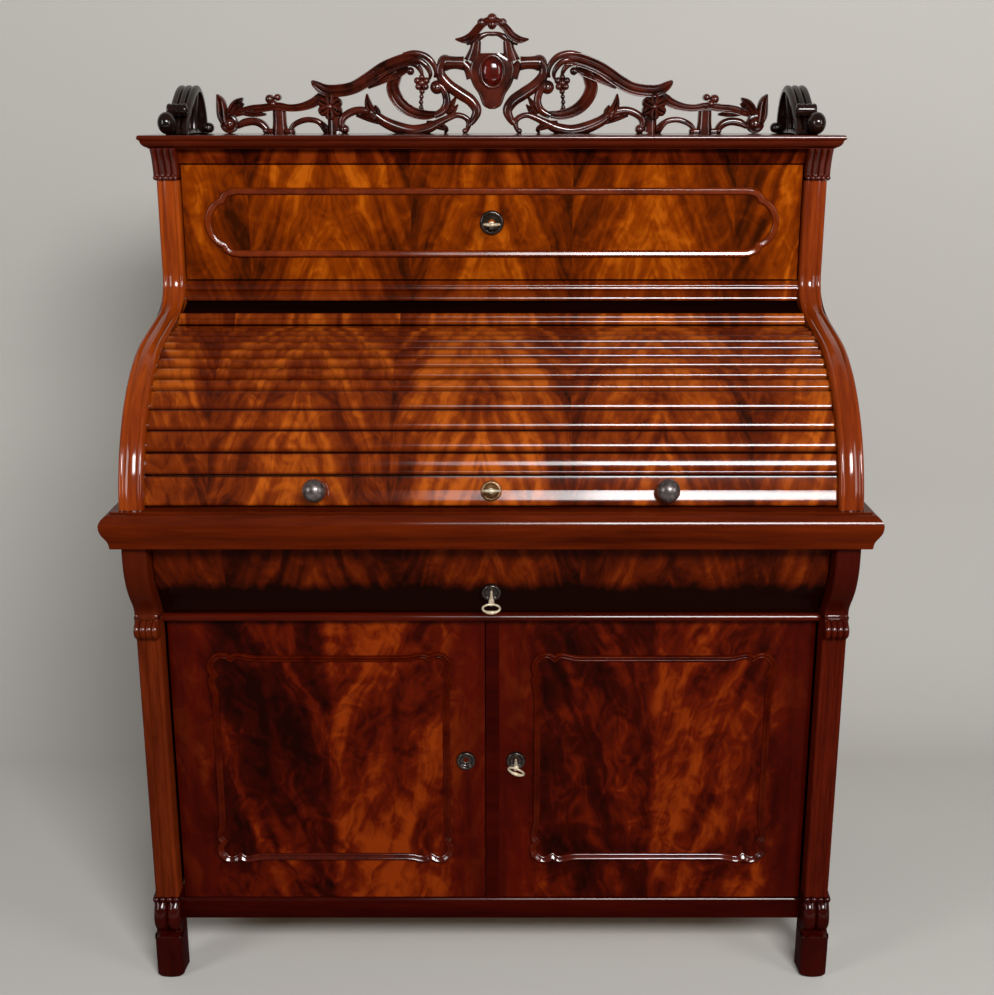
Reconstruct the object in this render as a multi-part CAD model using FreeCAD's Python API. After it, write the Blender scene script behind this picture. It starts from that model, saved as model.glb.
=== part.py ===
import FreeCAD, Part
import math
import os

os.makedirs("parts", exist_ok=True)
V = FreeCAD.Vector

# A roll-front writing desk in polished mahogany. Millimetres, +Z up, the front faces -Y,
# and the origin is on the floor under the middle of the desk.

# Overall
POST_SPREAD = 1100.0
DEPTH = 640.0
WRITING_HEIGHT = 822.0

# Boards and posts
POST_WIDTH = 37.5
SIDE_BOARD = 24.0
SIDE_INSET = 1.0
BACK_BOARD = 10.0
BACK_REBATE = 6.0
BACK_INSET = 4.0
THIN_BOARD = 16.0
FIT = 0.3

# Writing top
SLAB_THICK = 56.0
SLAB_OVERHANG = 24.0
SLAB_FILLET = 6.0
SLAB_NOSE = 4.0
SLAB_TUCK = 11.0
LEATHER_THICK = 1.2
LEATHER_WIDTH = 720.0
LEATHER_FRONT_MARGIN = 78.0
LEATHER_MARGIN = 40.0

# Feet and plinth
FOOT_HEIGHT = 80.0
FOOT_WIDTH = 44.0
FOOT_DEPTH = 50.0
FOOT_SPREAD = 6.0
FOOT_TAPER = 3.0
KNUCKLE_HEIGHT = 57.0
BAND_HEIGHT = 12.0
PLINTH_BOTTOM = 88.0
PLINTH_TOP = 126.0
PLINTH_PROUD = 3.0

# Pilasters with their consoles
SHAFT_SETBACK = 50.0
SHAFT_DEPTH = 30.0
CONSOLE_HEIGHT = 136.0
CAPITAL_BEAD = 13.0
FLUTE_RADIUS = 4.0

# Doors
DOOR_SETBACK = 37.0
DOOR_THICK = 22.0
DOOR_GAP = 2.5
MEETING_GAP = 1.5
MEETING_SHIFT = 9.0
MEETING_STRIP_WIDTH = 21.0
MEETING_STRIP_PROUD = 3.0
PIVOT_INSET = 4.0
PIVOT_RADIUS = 3.0
PIVOT_LENGTH = 14.0
PIVOT_PLATE = 1.2
DOOR_MOULDING_SIDE = 63.5
DOOR_MOULDING_MEETING = 67.5
DOOR_MOULDING_TOP = 62.0
DOOR_MOULDING_BOTTOM = 73.0
MOULDING_WIDTH = 11.0
MOULDING_PROUD = 6.0
MOULDING_EAR = 22.0
LOCK_TO_MEETING = 48.0
LEFT_PLATE_TO_MEETING = 31.0
DOOR_LOCK_DROP = 244.0

# Bead rail, base drawer and shelf
BEAD_RAIL_DROP = 144.0
BEAD_RAIL_THICK = 12.0
BEAD_PROUD = 19.0
SHELF_HEIGHT = 356.0
BATTEN = 22.0
BASE_FRONT_SETBACK = 30.0
BASE_FRONT_THICK = 61.0
BASE_FRONT_GAP = 5.0
BASE_KEY_RISE = 44.0
BASE_KEY_TILT = 20.0
BASE_DRAWER_GAP = 75.0
DRAWER_SIDE = 12.0
DRAWER_BOTTOM = 6.0
DRAWER_SIDE_DROP = 22.0
GUIDE_HEIGHT = 40.0

# Slatted curtain on its circular track
CURTAIN_ROOM = 90.0
CURTAIN_END = 107.5
AXIS_DROP = 47.0
SLAT_THICK = 12.0
SLAT_DOME = 0.8
SLAT_GAP = 0.5
CANVAS_THICK = 1.0
LOCK_RAIL_WIDTH = 45.0
WIDE_SLAT = 35.0
WIDE_SLAT_COUNT = 4
NARROW_SLAT = 25.5
GROOVE_DEPTH = 10.0
GROOVE_PLAY = 0.6
KNOB_SPACING = 520.0
KNOB_RADIUS = 17.5
KNOB_LENGTH = 28.0
KNOB_NECK = 8.0
PEG_RADIUS = 5.0

# S-shaped posts
POST_ARC_LESS = 9.0
POST_ARC_DROP = 36.0
POST_AXIS_SHIFT = 20.6
POST_SLOPE = 12.0
POST_HOLLOW = 60.0
SHAFT_THICK = 25.0
REED_COUNT = 5
REED_QUIRK = 2.0
REED_DEPTH = 3.0

# Upper case
SHOULDER_RUN = 80.0
RAIL_CLEAR = 32.0
RAIL_HEIGHT = 33.0
RAIL_THICK = 22.0
UPPER_DRAWER_HEIGHT = 191.0
UPPER_FRONT_SETBACK = 10.0
UPPER_FRONT_THICK = 22.0
UPPER_DRAWER_GAP = 5.0
UPPER_SIDE_HEIGHT = 150.0
FRIEZE_HEIGHT = 24.0
CORNICE_HEIGHT = 21.0
CORNICE_OVERHANG = 22.0
CORNICE_TUCK = 16.0
CAPITAL_HEIGHT = 51.0
CAPITAL_PROUD = 18.0
CARTOUCHE_SIDE = 46.0
CARTOUCHE_TOP = 38.0
CARTOUCHE_STEP = 16.0

# Crest and gallery ends
CREST_LENGTH = 972.0
CREST_THICK = 22.0
GALLERY_HEIGHT = 85.0
CREST_BEHIND = 46.0
GALLERY_WIDTH = 34.0
GALLERY_FRONT = 16.0
GALLERY_INSET = 35.0

# Locks, keys and escutcheons
LOCK_WIDTH = 52.0
LOCK_DEPTH = 14.0
LOCK_FOOT = 18.0
BOLT_WIDTH = 12.0
BOLT_THICK = 5.0
BOLT_TRAVEL = 9.0
BOLT_START = 6.0
BOLT_LENGTH = 25.0
MORTISE_PLAY = 1.5
KEY_RADIUS = 2.5
KEY_REACH = 40.0
CURTAIN_KEY_REACH = 26.0
DOOR_KEY_ROLL = 20.0
KEY_BOW = 10.5
KEY_WIRE = 1.8
ESCUTCHEON_RADIUS = 15.0
ESCUTCHEON_THICK = 4.0
ESCUTCHEON_DISH = 9.5

# Pigeonhole case and its drawers
CASE_DEPTH_SHARE = 0.5738
CASE_BOARD = 8.0
CASE_END_GAP = 0.6
CASE_DRAWER_SHARE = 0.4438
CASE_DRAWER_COUNT = 3
CASE_HOLE_COUNT = 6
CASE_CLEARANCE = 10.0

# Planes that several pieces share
half = POST_SPREAD / 2
post_in = half - POST_WIDTH
side_out = half - SIDE_INSET
side_in = side_out - SIDE_BOARD
post_front = -DEPTH / 2 + SLAB_OVERHANG
carcass_back = DEPTH / 2 - BACK_INSET
back_face = carcass_back - BACK_REBATE - BACK_BOARD
slab_bottom = WRITING_HEIGHT - SLAB_THICK
shaft_front = post_front + SHAFT_SETBACK
shaft_back = shaft_front + SHAFT_DEPTH
door_front = shaft_front + DOOR_SETBACK
door_back = door_front + DOOR_THICK
bead_bottom = slab_bottom - BEAD_RAIL_DROP
bead_top = bead_bottom + BEAD_RAIL_THICK
divider_top = bead_top
door_bottom = PLINTH_TOP + PIVOT_PLATE + FIT
door_top = bead_bottom - PIVOT_PLATE - FIT
foot_in = half + FOOT_SPREAD - FOOT_WIDTH
foot_front = shaft_front - 2 * FOOT_TAPER
knuckle_top = FOOT_HEIGHT + KNUCKLE_HEIGHT
band_top = knuckle_top + BAND_HEIGHT

curtain_radius = (DEPTH - CURTAIN_ROOM) / 2
post_radius = curtain_radius - POST_ARC_LESS
post_z = WRITING_HEIGHT - POST_ARC_DROP
post_y = post_front + math.sqrt(post_radius ** 2 - POST_ARC_DROP ** 2)
axis_y = post_y + POST_AXIS_SHIFT
axis_z = WRITING_HEIGHT - AXIS_DROP
lip_radius = curtain_radius + SLAT_DOME + GROOVE_PLAY
track_radius = curtain_radius - SLAT_THICK - CANVAS_THICK - GROOVE_PLAY
slat_end = side_in + GROOVE_DEPTH - 1.0

upper_front = axis_y + SHOULDER_RUN
upper_shaft_back = upper_front + SHAFT_THICK
rail_bottom = axis_z + curtain_radius + RAIL_CLEAR
rail_top = rail_bottom + RAIL_HEIGHT
drawer_front = upper_front + UPPER_FRONT_SETBACK
drawer_back = drawer_front + UPPER_FRONT_THICK
drawer_top = rail_top + UPPER_DRAWER_HEIGHT
cornice_bottom = drawer_top + FRIEZE_HEIGHT
cornice_top = cornice_bottom + CORNICE_HEIGHT
capital_bottom = cornice_bottom - CAPITAL_HEIGHT


# Shape helpers
def box(x0, x1, y0, y1, z0, z1):
    return Part.makeBox(x1 - x0, y1 - y0, z1 - z0, V(x0, y0, z0))


def rod(start, direction, radius, length):
    return Part.makeCylinder(radius, length, start, direction)


def trace(steps, place):
    """Closed face from points; a pair of points is an arc through the first to the second."""
    edges = []
    here = steps[0]
    for step in steps[1:] + steps[:1]:
        if isinstance(step[0], tuple):
            edges.append(Part.Arc(place(*here), place(*step[0]), place(*step[1])).toShape())
            here = step[1]
        else:
            if math.dist(here, step) > 1e-6:
                edges.append(Part.LineSegment(place(*here), place(*step)).toShape())
            here = step
    return Part.Face(Part.Wire(edges))


def side_prism(steps, x0, x1):
    """Outline in (y, z), extruded across the desk from x0 to x1."""
    return trace(steps, lambda y, z: V(x0, y, z)).extrude(V(x1 - x0, 0, 0))


def front_prism(steps, y0, y1):
    """Outline in (x, z), extruded front to back from y0 to y1."""
    return trace(steps, lambda x, z: V(x, y0, z)).extrude(V(0, y1 - y0, 0))


def mirrored(shape):
    return shape.mirror(V(0, 0, 0), V(1, 0, 0))


def both(shape):
    return [shape, mirrored(shape)]


def cut_all(shape, tools):
    for tool in tools:
        shape = shape.cut(tool)
    return shape


def save(name, *shapes):
    shape = shapes[0] if len(shapes) == 1 else Part.makeCompound(list(shapes))
    shape.exportStep("parts/" + name + ".step")
    print(name, len(shape.Solids), "solids", round(shape.Volume / 1000, 1), "cm3", shape.isValid())


def on_track(radius, angle):
    """Point (y, z) on the curtain's circle; the angle rises from straight ahead, in radians."""
    return axis_y - radius * math.cos(angle), axis_z + radius * math.sin(angle)


def track_sector(r0, r1, a0, a1, dome=0.0):
    middle = (a0 + a1) / 2
    return [
        on_track(r1, a0),
        (on_track(r1 + dome, middle), on_track(r1, a1)),
        on_track(r0, a1),
        (on_track(r0, middle), on_track(r0, a0)),
    ]


# One lock: built at a board's front face y = 0 with the key's axis along Y and the bolt upwards
def lock_unit(board, reach, key_reach):
    y0 = board - LOCK_DEPTH
    bolt_start = max(BOLT_START, reach - BOLT_LENGTH)
    bolt_y = board - LOCK_DEPTH / 2
    hole = rod(V(0, -ESCUTCHEON_THICK - 1, 0), V(0, 1, 0), KEY_RADIUS + FIT, board + ESCUTCHEON_THICK + 2)
    pocket = box(-LOCK_WIDTH / 2, LOCK_WIDTH / 2, y0, board, -LOCK_FOOT, reach)
    slot = box(-BOLT_WIDTH / 2 - FIT, BOLT_WIDTH / 2 + FIT, bolt_y - BOLT_THICK / 2 - FIT,
               bolt_y + BOLT_THICK / 2 + FIT, bolt_start - FIT, reach + BOLT_TRAVEL)
    bolt = box(-BOLT_WIDTH / 2, BOLT_WIDTH / 2, bolt_y - BOLT_THICK / 2, bolt_y + BOLT_THICK / 2,
               bolt_start, reach - FIT)
    mortise = box(-BOLT_WIDTH / 2 - MORTISE_PLAY, BOLT_WIDTH / 2 + MORTISE_PLAY,
                  bolt_y - BOLT_THICK / 2 - MORTISE_PLAY, bolt_y + BOLT_THICK / 2 + MORTISE_PLAY,
                  reach - FIT, reach + 2 * BOLT_TRAVEL)
    ring = rod(V(0, -ESCUTCHEON_THICK, 0), V(0, 1, 0), ESCUTCHEON_RADIUS, ESCUTCHEON_THICK)
    dish = rod(V(0, -ESCUTCHEON_THICK, 0), V(0, 1, 0), ESCUTCHEON_DISH, ESCUTCHEON_THICK / 2)
    shank = rod(V(0, -key_reach + KEY_BOW, 0), V(0, 1, 0), KEY_RADIUS, key_reach - KEY_BOW + board - FIT)
    collar = rod(V(0, -key_reach + KEY_BOW, 0), V(0, 1, 0), KEY_RADIUS + KEY_WIRE, 2 * KEY_WIRE)
    bow = Part.makeTorus(KEY_BOW, KEY_WIRE, V(0, -key_reach, 0), V(0, 0, 1))
    return {
        "case": pocket.cut(slot).cut(hole),
        "pocket": pocket,
        "slot": slot,
        "bolt": bolt,
        "mortise": mortise,
        "hole": hole,
        "escutcheon": ring.cut(dish).cut(hole),
        "key": shank.fuse([collar, bow]),
    }


def placed(unit, x, y, z, tilt=0.0, roll=0.0):
    """Copies of a lock's shapes, rolled about the key's axis, tilted about X and moved to a face."""
    result = {}
    for name, shape in unit.items():
        copy = shape.copy()
        copy.rotate(V(0, 0, 0), V(0, 1, 0), roll)
        copy.rotate(V(0, 0, 0), V(1, 0, 0), tilt)
        copy.translate(V(x, y, z))
        result[name] = copy
    return result


# Upper drawer lock: the bolt rises into the frieze rail
upper_key_z = (rail_top + drawer_top) / 2
upper_front_top = drawer_top - DOOR_GAP
upper_lock = placed(lock_unit(UPPER_FRONT_THICK, upper_front_top - upper_key_z, KEY_REACH),
                    0, drawer_front, upper_key_z)

# Base drawer lock: the front leans back where the key sits, so the key and its plate tilt down
base_front = post_front + BASE_FRONT_SETBACK
base_back = base_front + BASE_FRONT_THICK
base_drawer_depth = back_face - base_back - BASE_DRAWER_GAP
base_front_bottom = bead_top + DOOR_GAP
base_front_top = slab_bottom - BASE_FRONT_GAP
base_key_z = base_front_bottom + BASE_KEY_RISE
base_sweep = SHAFT_SETBACK - 5.0
base_key_y = base_front + base_sweep * 0.31
base_lock_unit = lock_unit(base_back - base_key_y, base_front_top - base_key_z, KEY_REACH)
base_lock = placed(base_lock_unit, 0, base_key_y, base_key_z)
base_plate = placed(base_lock_unit, 0, base_key_y, base_key_z, tilt=BASE_KEY_TILT)

# Curtain lock: behind the lock rail, the bolt goes down into the writing top
rail_start = math.asin((AXIS_DROP + 1.0) / (curtain_radius - SLAT_THICK))
rail_end = rail_start + LOCK_RAIL_WIDTH / curtain_radius
rail_middle = (rail_start + rail_end) / 2
curtain_lock_y, curtain_lock_z = on_track(curtain_radius + FIT, rail_middle)
curtain_lock = placed(
    lock_unit(SLAT_THICK + LOCK_DEPTH + 4 * FIT, LOCK_RAIL_WIDTH / 2 - 5.5, CURTAIN_KEY_REACH),
    0, curtain_lock_y, curtain_lock_z, tilt=-math.degrees(rail_middle), roll=180.0)

# Door lock: in the right door, the bolt goes sideways into the left door
door_lock_x = LOCK_TO_MEETING - MEETING_SHIFT
door_lock_z = door_top - DOOR_LOCK_DROP + FIT
door_lock_unit = lock_unit(DOOR_THICK, LOCK_TO_MEETING, KEY_REACH)
door_lock = placed(door_lock_unit, door_lock_x, door_front, door_lock_z, roll=-90.0)
door_key = placed(door_lock_unit, door_lock_x, door_front, door_lock_z, roll=DOOR_KEY_ROLL)["key"]


# Writing top: a thick board, its edge worked to a fillet, a round nose and a tucked-in underside
slab_half = half + SLAB_OVERHANG
slab_front = -DEPTH / 2
fillet_z = WRITING_HEIGHT - SLAB_FILLET
tuck_z = slab_bottom + SLAB_THICK * 0.4


def slab_edge(edge, inward):
    """The moulded edge, from the top down, for an edge plane and the sign that points inwards."""
    return [
        (edge + inward * SLAB_NOSE, WRITING_HEIGHT),
        (edge + inward * SLAB_NOSE, fillet_z),
        ((edge, fillet_z - SLAB_THICK * 0.22), (edge + inward * SLAB_NOSE / 2, tuck_z)),
        ((edge + inward * SLAB_TUCK * 0.45, tuck_z - SLAB_THICK * 0.24), (edge + inward * SLAB_TUCK, slab_bottom)),
    ]


front_profile = slab_edge(slab_front, 1) + [(DEPTH / 2, slab_bottom), (DEPTH / 2, WRITING_HEIGHT)]
slab = side_prism(front_profile, -slab_half, slab_half)


def reversed_edge(edge):
    """The same moulded edge on the +X side, from the underside up."""
    return [
        (edge - SLAB_TUCK, slab_bottom),
        ((edge - SLAB_TUCK * 0.45, tuck_z - SLAB_THICK * 0.24), (edge - SLAB_NOSE / 2, tuck_z)),
        ((edge, fillet_z - SLAB_THICK * 0.22), (edge - SLAB_NOSE, fillet_z)),
        (edge - SLAB_NOSE, WRITING_HEIGHT),
    ]


slab = slab.common(front_prism(slab_edge(-slab_half, 1) + reversed_edge(slab_half), slab_front, DEPTH / 2))
slot_front = axis_y + math.sqrt(track_radius ** 2 - AXIS_DROP ** 2) - 2.0
track_slot = box(-side_in - GROOVE_DEPTH, side_in + GROOVE_DEPTH, slot_front,
                 axis_y + lip_radius + 2.0, slab_bottom - 1, WRITING_HEIGHT + 1)
case_front = axis_y
leather_back = case_front - LEATHER_MARGIN
leather = box(-LEATHER_WIDTH / 2, LEATHER_WIDTH / 2, LEATHER_FRONT_MARGIN - DEPTH / 2, leather_back,
              WRITING_HEIGHT - LEATHER_THICK, WRITING_HEIGHT)
slab = cut_all(slab, [track_slot, leather, base_lock["mortise"], curtain_lock["mortise"]])
save("writing_top", slab)
save("writing_leather", leather)

# Base sides: plain boards, notched over the feet
rear_foot_front = carcass_back - FOOT_DEPTH + 6.0
base_side = side_prism([
    (shaft_back, slab_bottom),
    (shaft_back, FOOT_HEIGHT),
    (foot_front + FOOT_DEPTH, FOOT_HEIGHT),
    (foot_front + FOOT_DEPTH, PLINTH_BOTTOM),
    (rear_foot_front, PLINTH_BOTTOM),
    (rear_foot_front, FOOT_HEIGHT),
    (carcass_back, FOOT_HEIGHT),
    (carcass_back, slab_bottom),
], side_in, side_out)
save("base_side_right", base_side)
save("base_side_left", mirrored(base_side))

# Base back, floor, shelf, drawer divider and the strips that guide the drawers
save("base_back", box(-side_in, side_in, back_face, back_face + BACK_BOARD, FOOT_HEIGHT, slab_bottom))
save("base_floor", box(-side_in, side_in, door_back, back_face, PLINTH_TOP - THIN_BOARD, PLINTH_TOP))
shelf_front = door_back + 60.0
save("base_shelf", box(-side_in, side_in, shelf_front, back_face, SHELF_HEIGHT, SHELF_HEIGHT + THIN_BOARD))
save("drawer_divider", box(-side_in, side_in, door_back, back_face, bead_bottom, divider_top))
batten = box(side_in - BATTEN, side_in, shelf_front, back_face, SHELF_HEIGHT - BATTEN, SHELF_HEIGHT)
base_guide = box(post_in, side_in, base_back, base_back + base_drawer_depth, divider_top,
                 divider_top + GUIDE_HEIGHT)
upper_guide = box(post_in, side_in, upper_shaft_back, back_face, rail_top, rail_top + GUIDE_HEIGHT)
save("guides_and_battens", *both(batten), *both(base_guide), *both(upper_guide))

# Plinth rail between the front feet
save("plinth_rail", box(-foot_in, foot_in, door_front - PLINTH_PROUD, door_back, PLINTH_BOTTOM, PLINTH_TOP))

# Front feet: a square block that tapers downwards, a carved knuckle with two lobes and a bead band
foot_out = half + FOOT_SPREAD
foot_back = foot_front + FOOT_DEPTH
block = Part.makeLoft([
    Part.makePolygon([V(foot_in + t, foot_front + t, z), V(foot_out - t, foot_front + t, z),
                      V(foot_out - t, foot_back, z), V(foot_in + t, foot_back, z),
                      V(foot_in + t, foot_front + t, z)])
    for z, t in ((0.0, FOOT_TAPER), (FOOT_HEIGHT, 0.0))
], True, True)
lobe_radius = POST_WIDTH / 4
lobe_y = shaft_front + lobe_radius / 2
knuckle = box(post_in, half, lobe_y, shaft_back, FOOT_HEIGHT, knuckle_top)
band = box(post_in, half, shaft_front - 2.0, shaft_back, knuckle_top, band_top)
lobes = [rod(V(post_in + lobe_radius * side, lobe_y, FOOT_HEIGHT), V(0, 0, 1), lobe_radius, KNUCKLE_HEIGHT)
         for side in (1, 3)]
front_foot = block.fuse([knuckle, band] + lobes).removeSplitter()
save("front_feet", *both(front_foot))
rear_foot = box(foot_in, half, rear_foot_front, carcass_back, 0, FOOT_HEIGHT)
save("rear_feet", *both(rear_foot))

# Pilasters: a console that swells forward under the writing top, a capital bead and a fluted shaft
console_z = slab_bottom - CONSOLE_HEIGHT
neck = shaft_front - 5.0
pilaster = side_prism([
    (shaft_back, slab_bottom),
    (post_front, slab_bottom),
    (post_front, slab_bottom - CONSOLE_HEIGHT * 0.28),
    ((post_front + SHAFT_SETBACK * 0.18, slab_bottom - CONSOLE_HEIGHT * 0.50),
     (post_front + SHAFT_SETBACK * 0.52, slab_bottom - CONSOLE_HEIGHT * 0.71)),
    ((neck - SHAFT_SETBACK * 0.12, slab_bottom - CONSOLE_HEIGHT * 0.80), (neck, slab_bottom - CONSOLE_HEIGHT * 0.90)),
    (neck, console_z + CAPITAL_BEAD * 0.2),
    ((neck - CAPITAL_BEAD, console_z - CAPITAL_BEAD), (shaft_front, console_z - 2 * CAPITAL_BEAD)),
    (shaft_front, band_top),
    (shaft_back, band_top),
], post_in, half)
flutes = [rod(V(post_in + POST_WIDTH * share, shaft_front, band_top + CAPITAL_BEAD), V(0, 0, 1), FLUTE_RADIUS,
              console_z - 4 * CAPITAL_BEAD - band_top) for share in (0.3, 0.7)]
pilaster = cut_all(pilaster, flutes)
save("pilaster_right", pilaster)
save("pilaster_left", mirrored(pilaster))

# Bead rail: a half-round nose between the pilasters
nose = door_front - BEAD_PROUD
nose_centre = nose + BEAD_RAIL_THICK / 2
save("bead_rail", side_prism([
    (door_back, bead_top),
    (nose_centre, bead_top),
    ((nose, bead_bottom + BEAD_RAIL_THICK / 2), (nose_centre, bead_bottom)),
    (door_back, bead_bottom),
], -post_in, post_in))

# Base drawer: an ogee front, upright above and sweeping back below, with a plain box behind it
base_half = post_in - DOOR_GAP
front_drop = base_front_top - base_front_bottom
base_drawer_front = side_prism([
    (base_back, base_front_top),
    (base_front, base_front_top),
    (base_front, base_front_top - front_drop * 0.28),
    ((base_front + base_sweep * 0.20, base_front_top - front_drop * 0.56),
     (base_front + base_sweep * 0.62, base_front_top - front_drop * 0.82)),
    ((base_front + base_sweep * 0.80, base_front_top - front_drop * 0.91),
     (base_front + base_sweep, base_front_bottom)),
    (base_back, base_front_bottom),
], -base_half, base_half)
seat = rod(V(0, 0, 0), V(0, -1, 0), ESCUTCHEON_RADIUS + FIT, BASE_FRONT_THICK)
seat.rotate(V(0, 0, 0), V(1, 0, 0), BASE_KEY_TILT)
seat.translate(V(0, base_key_y, base_key_z))
base_drawer_front = cut_all(base_drawer_front, [seat, base_lock["pocket"], base_plate["hole"]])
save("base_drawer_front", base_drawer_front)


def drawer_box(width_half, y0, y1, z0, z1):
    """Sides, back and bottom boards of a drawer, as separate boards that touch."""
    inner = width_half - DRAWER_SIDE
    side = box(inner, width_half, y0, y1, z0, z1)
    back = box(-inner, inner, y1 - DRAWER_SIDE, y1, z0, z1)
    bottom = box(-inner, inner, y0, y1 - DRAWER_SIDE, z0 + DRAWER_BOTTOM, z0 + 2 * DRAWER_BOTTOM)
    return both(side) + [back, bottom]


base_box_half = post_in - 1.0
save("base_drawer_box", *drawer_box(base_box_half, base_back, base_back + base_drawer_depth,
                                    divider_top + FIT, base_front_top - DRAWER_SIDE_DROP))
save("base_drawer_lock", base_lock["case"].cut(base_plate["hole"]), base_plate["escutcheon"])
save("base_drawer_bolt", base_lock["bolt"])
save("base_drawer_key", base_plate["key"])

# Doors: flat boards on knife pivots, each with a planted moulding; the right one carries the strip and lock
door_edge = post_in - DOOR_GAP
left_meeting = -MEETING_SHIFT - MEETING_GAP
pivot_x = door_edge - PIVOT_INSET
pivot_y = door_front + PIVOT_INSET
pivot_holes = []
pivots = []
for plate_z, inward in ((PLINTH_TOP, 1), (bead_bottom, -1)):
    plate_low = min(plate_z, plate_z + inward * PIVOT_PLATE)
    plate = box(pivot_x - 40.0, door_edge, door_front, door_front + 4 * PIVOT_INSET, plate_low,
                plate_low + PIVOT_PLATE)
    pin = rod(V(pivot_x, pivot_y, plate_z), V(0, 0, inward), PIVOT_RADIUS, PIVOT_LENGTH)
    pivots += both(plate.fuse(pin))
    pivot_holes.append(rod(V(pivot_x, pivot_y, plate_z), V(0, 0, inward), PIVOT_RADIUS + 0.08, PIVOT_LENGTH + 1))
save("door_pivots", *pivots)
right_door = box(-MEETING_SHIFT, door_edge, door_front, door_back, door_bottom, door_top)
right_door = cut_all(right_door, pivot_holes + [door_lock["pocket"], door_lock["slot"], door_lock["hole"]])
left_door = box(-door_edge, left_meeting, door_front, door_back, door_bottom, door_top)
left_door = cut_all(left_door, [mirrored(hole) for hole in pivot_holes] + [door_lock["mortise"]])
save("right_door_panel", right_door)
save("left_door_panel", left_door)
save("meeting_strip", box(-MEETING_SHIFT, MEETING_STRIP_WIDTH - MEETING_SHIFT,
                          door_front - MEETING_STRIP_PROUD, door_front, door_bottom, door_top))


def eared_outline(x0, x1, z0, z1, ear):
    """A rectangle whose corners are hollowed by quarter rounds, as steps for an (x, z) outline."""
    bend = ear * (1 - math.sqrt(0.5))
    return [
        (x0, z0 + ear),
        (x0, z1 - ear),
        ((x0 + ear - bend, z1 - ear + bend), (x0 + ear, z1)),
        (x1 - ear, z1),
        ((x1 - ear + bend, z1 - ear + bend), (x1, z1 - ear)),
        (x1, z0 + ear),
        ((x1 - ear + bend, z0 + ear - bend), (x1 - ear, z0)),
        (x0 + ear, z0),
        ((x0 + ear - bend, z0 + ear - bend), (x0, z0 + ear)),
    ]


def planted_moulding(x0, x1, z0, z1, ear, face_y):
    outer = front_prism(eared_outline(x0, x1, z0, z1, ear), face_y - MOULDING_PROUD, face_y)
    w = MOULDING_WIDTH
    inner = front_prism(eared_outline(x0 + w, x1 - w, z0 + w, z1 - w, ear), face_y - MOULDING_PROUD, face_y)
    return outer.cut(inner)


moulding_low = door_bottom + DOOR_MOULDING_BOTTOM
moulding_high = door_top - DOOR_MOULDING_TOP
moulding_out = door_edge - DOOR_MOULDING_SIDE
save("right_door_moulding", planted_moulding(DOOR_MOULDING_MEETING, moulding_out, moulding_low,
                                             moulding_high, MOULDING_EAR, door_front))
save("left_door_moulding", planted_moulding(-moulding_out, -DOOR_MOULDING_MEETING, moulding_low,
                                            moulding_high, MOULDING_EAR, door_front))
left_plate = door_lock["escutcheon"].copy()
left_plate.translate(V(left_meeting - LEFT_PLATE_TO_MEETING - door_lock_x, 0, 0))
save("left_door_escutcheon", left_plate)
save("right_door_lock", door_lock["case"], door_lock["escutcheon"])
save("right_door_bolt", door_lock["bolt"])
save("right_door_key", door_key)

# S-shaped posts: a convex sweep over the curtain, a short slope, and a hollow up to the straight shaft
slope = math.radians(POST_SLOPE)
sweep_end = math.pi / 2 - slope
end_y = post_y - post_radius * math.cos(sweep_end)
end_z = post_z + post_radius * math.sin(sweep_end)
corner_z = end_z + (upper_front - end_y) * math.tan(slope)
hollow_y = upper_front - POST_HOLLOW
hollow_z = corner_z + POST_HOLLOW * math.tan(sweep_end / 2)


def post_face(inset):
    """The post's face from the writing top upwards, moved inwards by inset, as (y, z) steps."""
    r = post_radius - inset
    start = math.asin(POST_ARC_DROP / r)
    middle = (start + sweep_end) / 2
    h = POST_HOLLOW + inset
    return [
        (post_y - r * math.cos(start), WRITING_HEIGHT),
        ((post_y - r * math.cos(middle), post_z + r * math.sin(middle)),
         (post_y - r * math.cos(sweep_end), post_z + r * math.sin(sweep_end))),
        (hollow_y + h * math.cos(sweep_end), hollow_z - h * math.sin(sweep_end)),
        ((hollow_y + h * math.cos(sweep_end / 2), hollow_z - h * math.sin(sweep_end / 2)),
         (hollow_y + h, hollow_z)),
        (hollow_y + h, capital_bottom),
    ]


def lip_arc(radius):
    """The edge over the slats' ends, from behind the upper shaft forward to the writing top."""
    back = math.pi - math.acos((upper_shaft_back - axis_y) / radius)
    front = math.asin(AXIS_DROP / radius)
    return [on_track(radius, back), (on_track(radius, (back + front) / 2), on_track(radius, front))]


post = side_prism(post_face(0) + [(upper_shaft_back, capital_bottom)] + lip_arc(lip_radius), post_in, half)
quirk_band = post_face(0)
inner_face = post_face(REED_DEPTH)
band_back = [
    inner_face[4],
    (hollow_y + POST_HOLLOW + REED_DEPTH, hollow_z),
    (inner_face[3][0], inner_face[2]),
    inner_face[1][1],
    (inner_face[1][0], inner_face[0]),
]
reed = POST_WIDTH / REED_COUNT
for number in range(1, REED_COUNT):
    x = post_in + number * reed
    post = post.cut(side_prism(quirk_band + band_back, x - REED_QUIRK / 2, x + REED_QUIRK / 2))
save("scroll_post_right", post)
save("scroll_post_left", mirrored(post))

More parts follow.
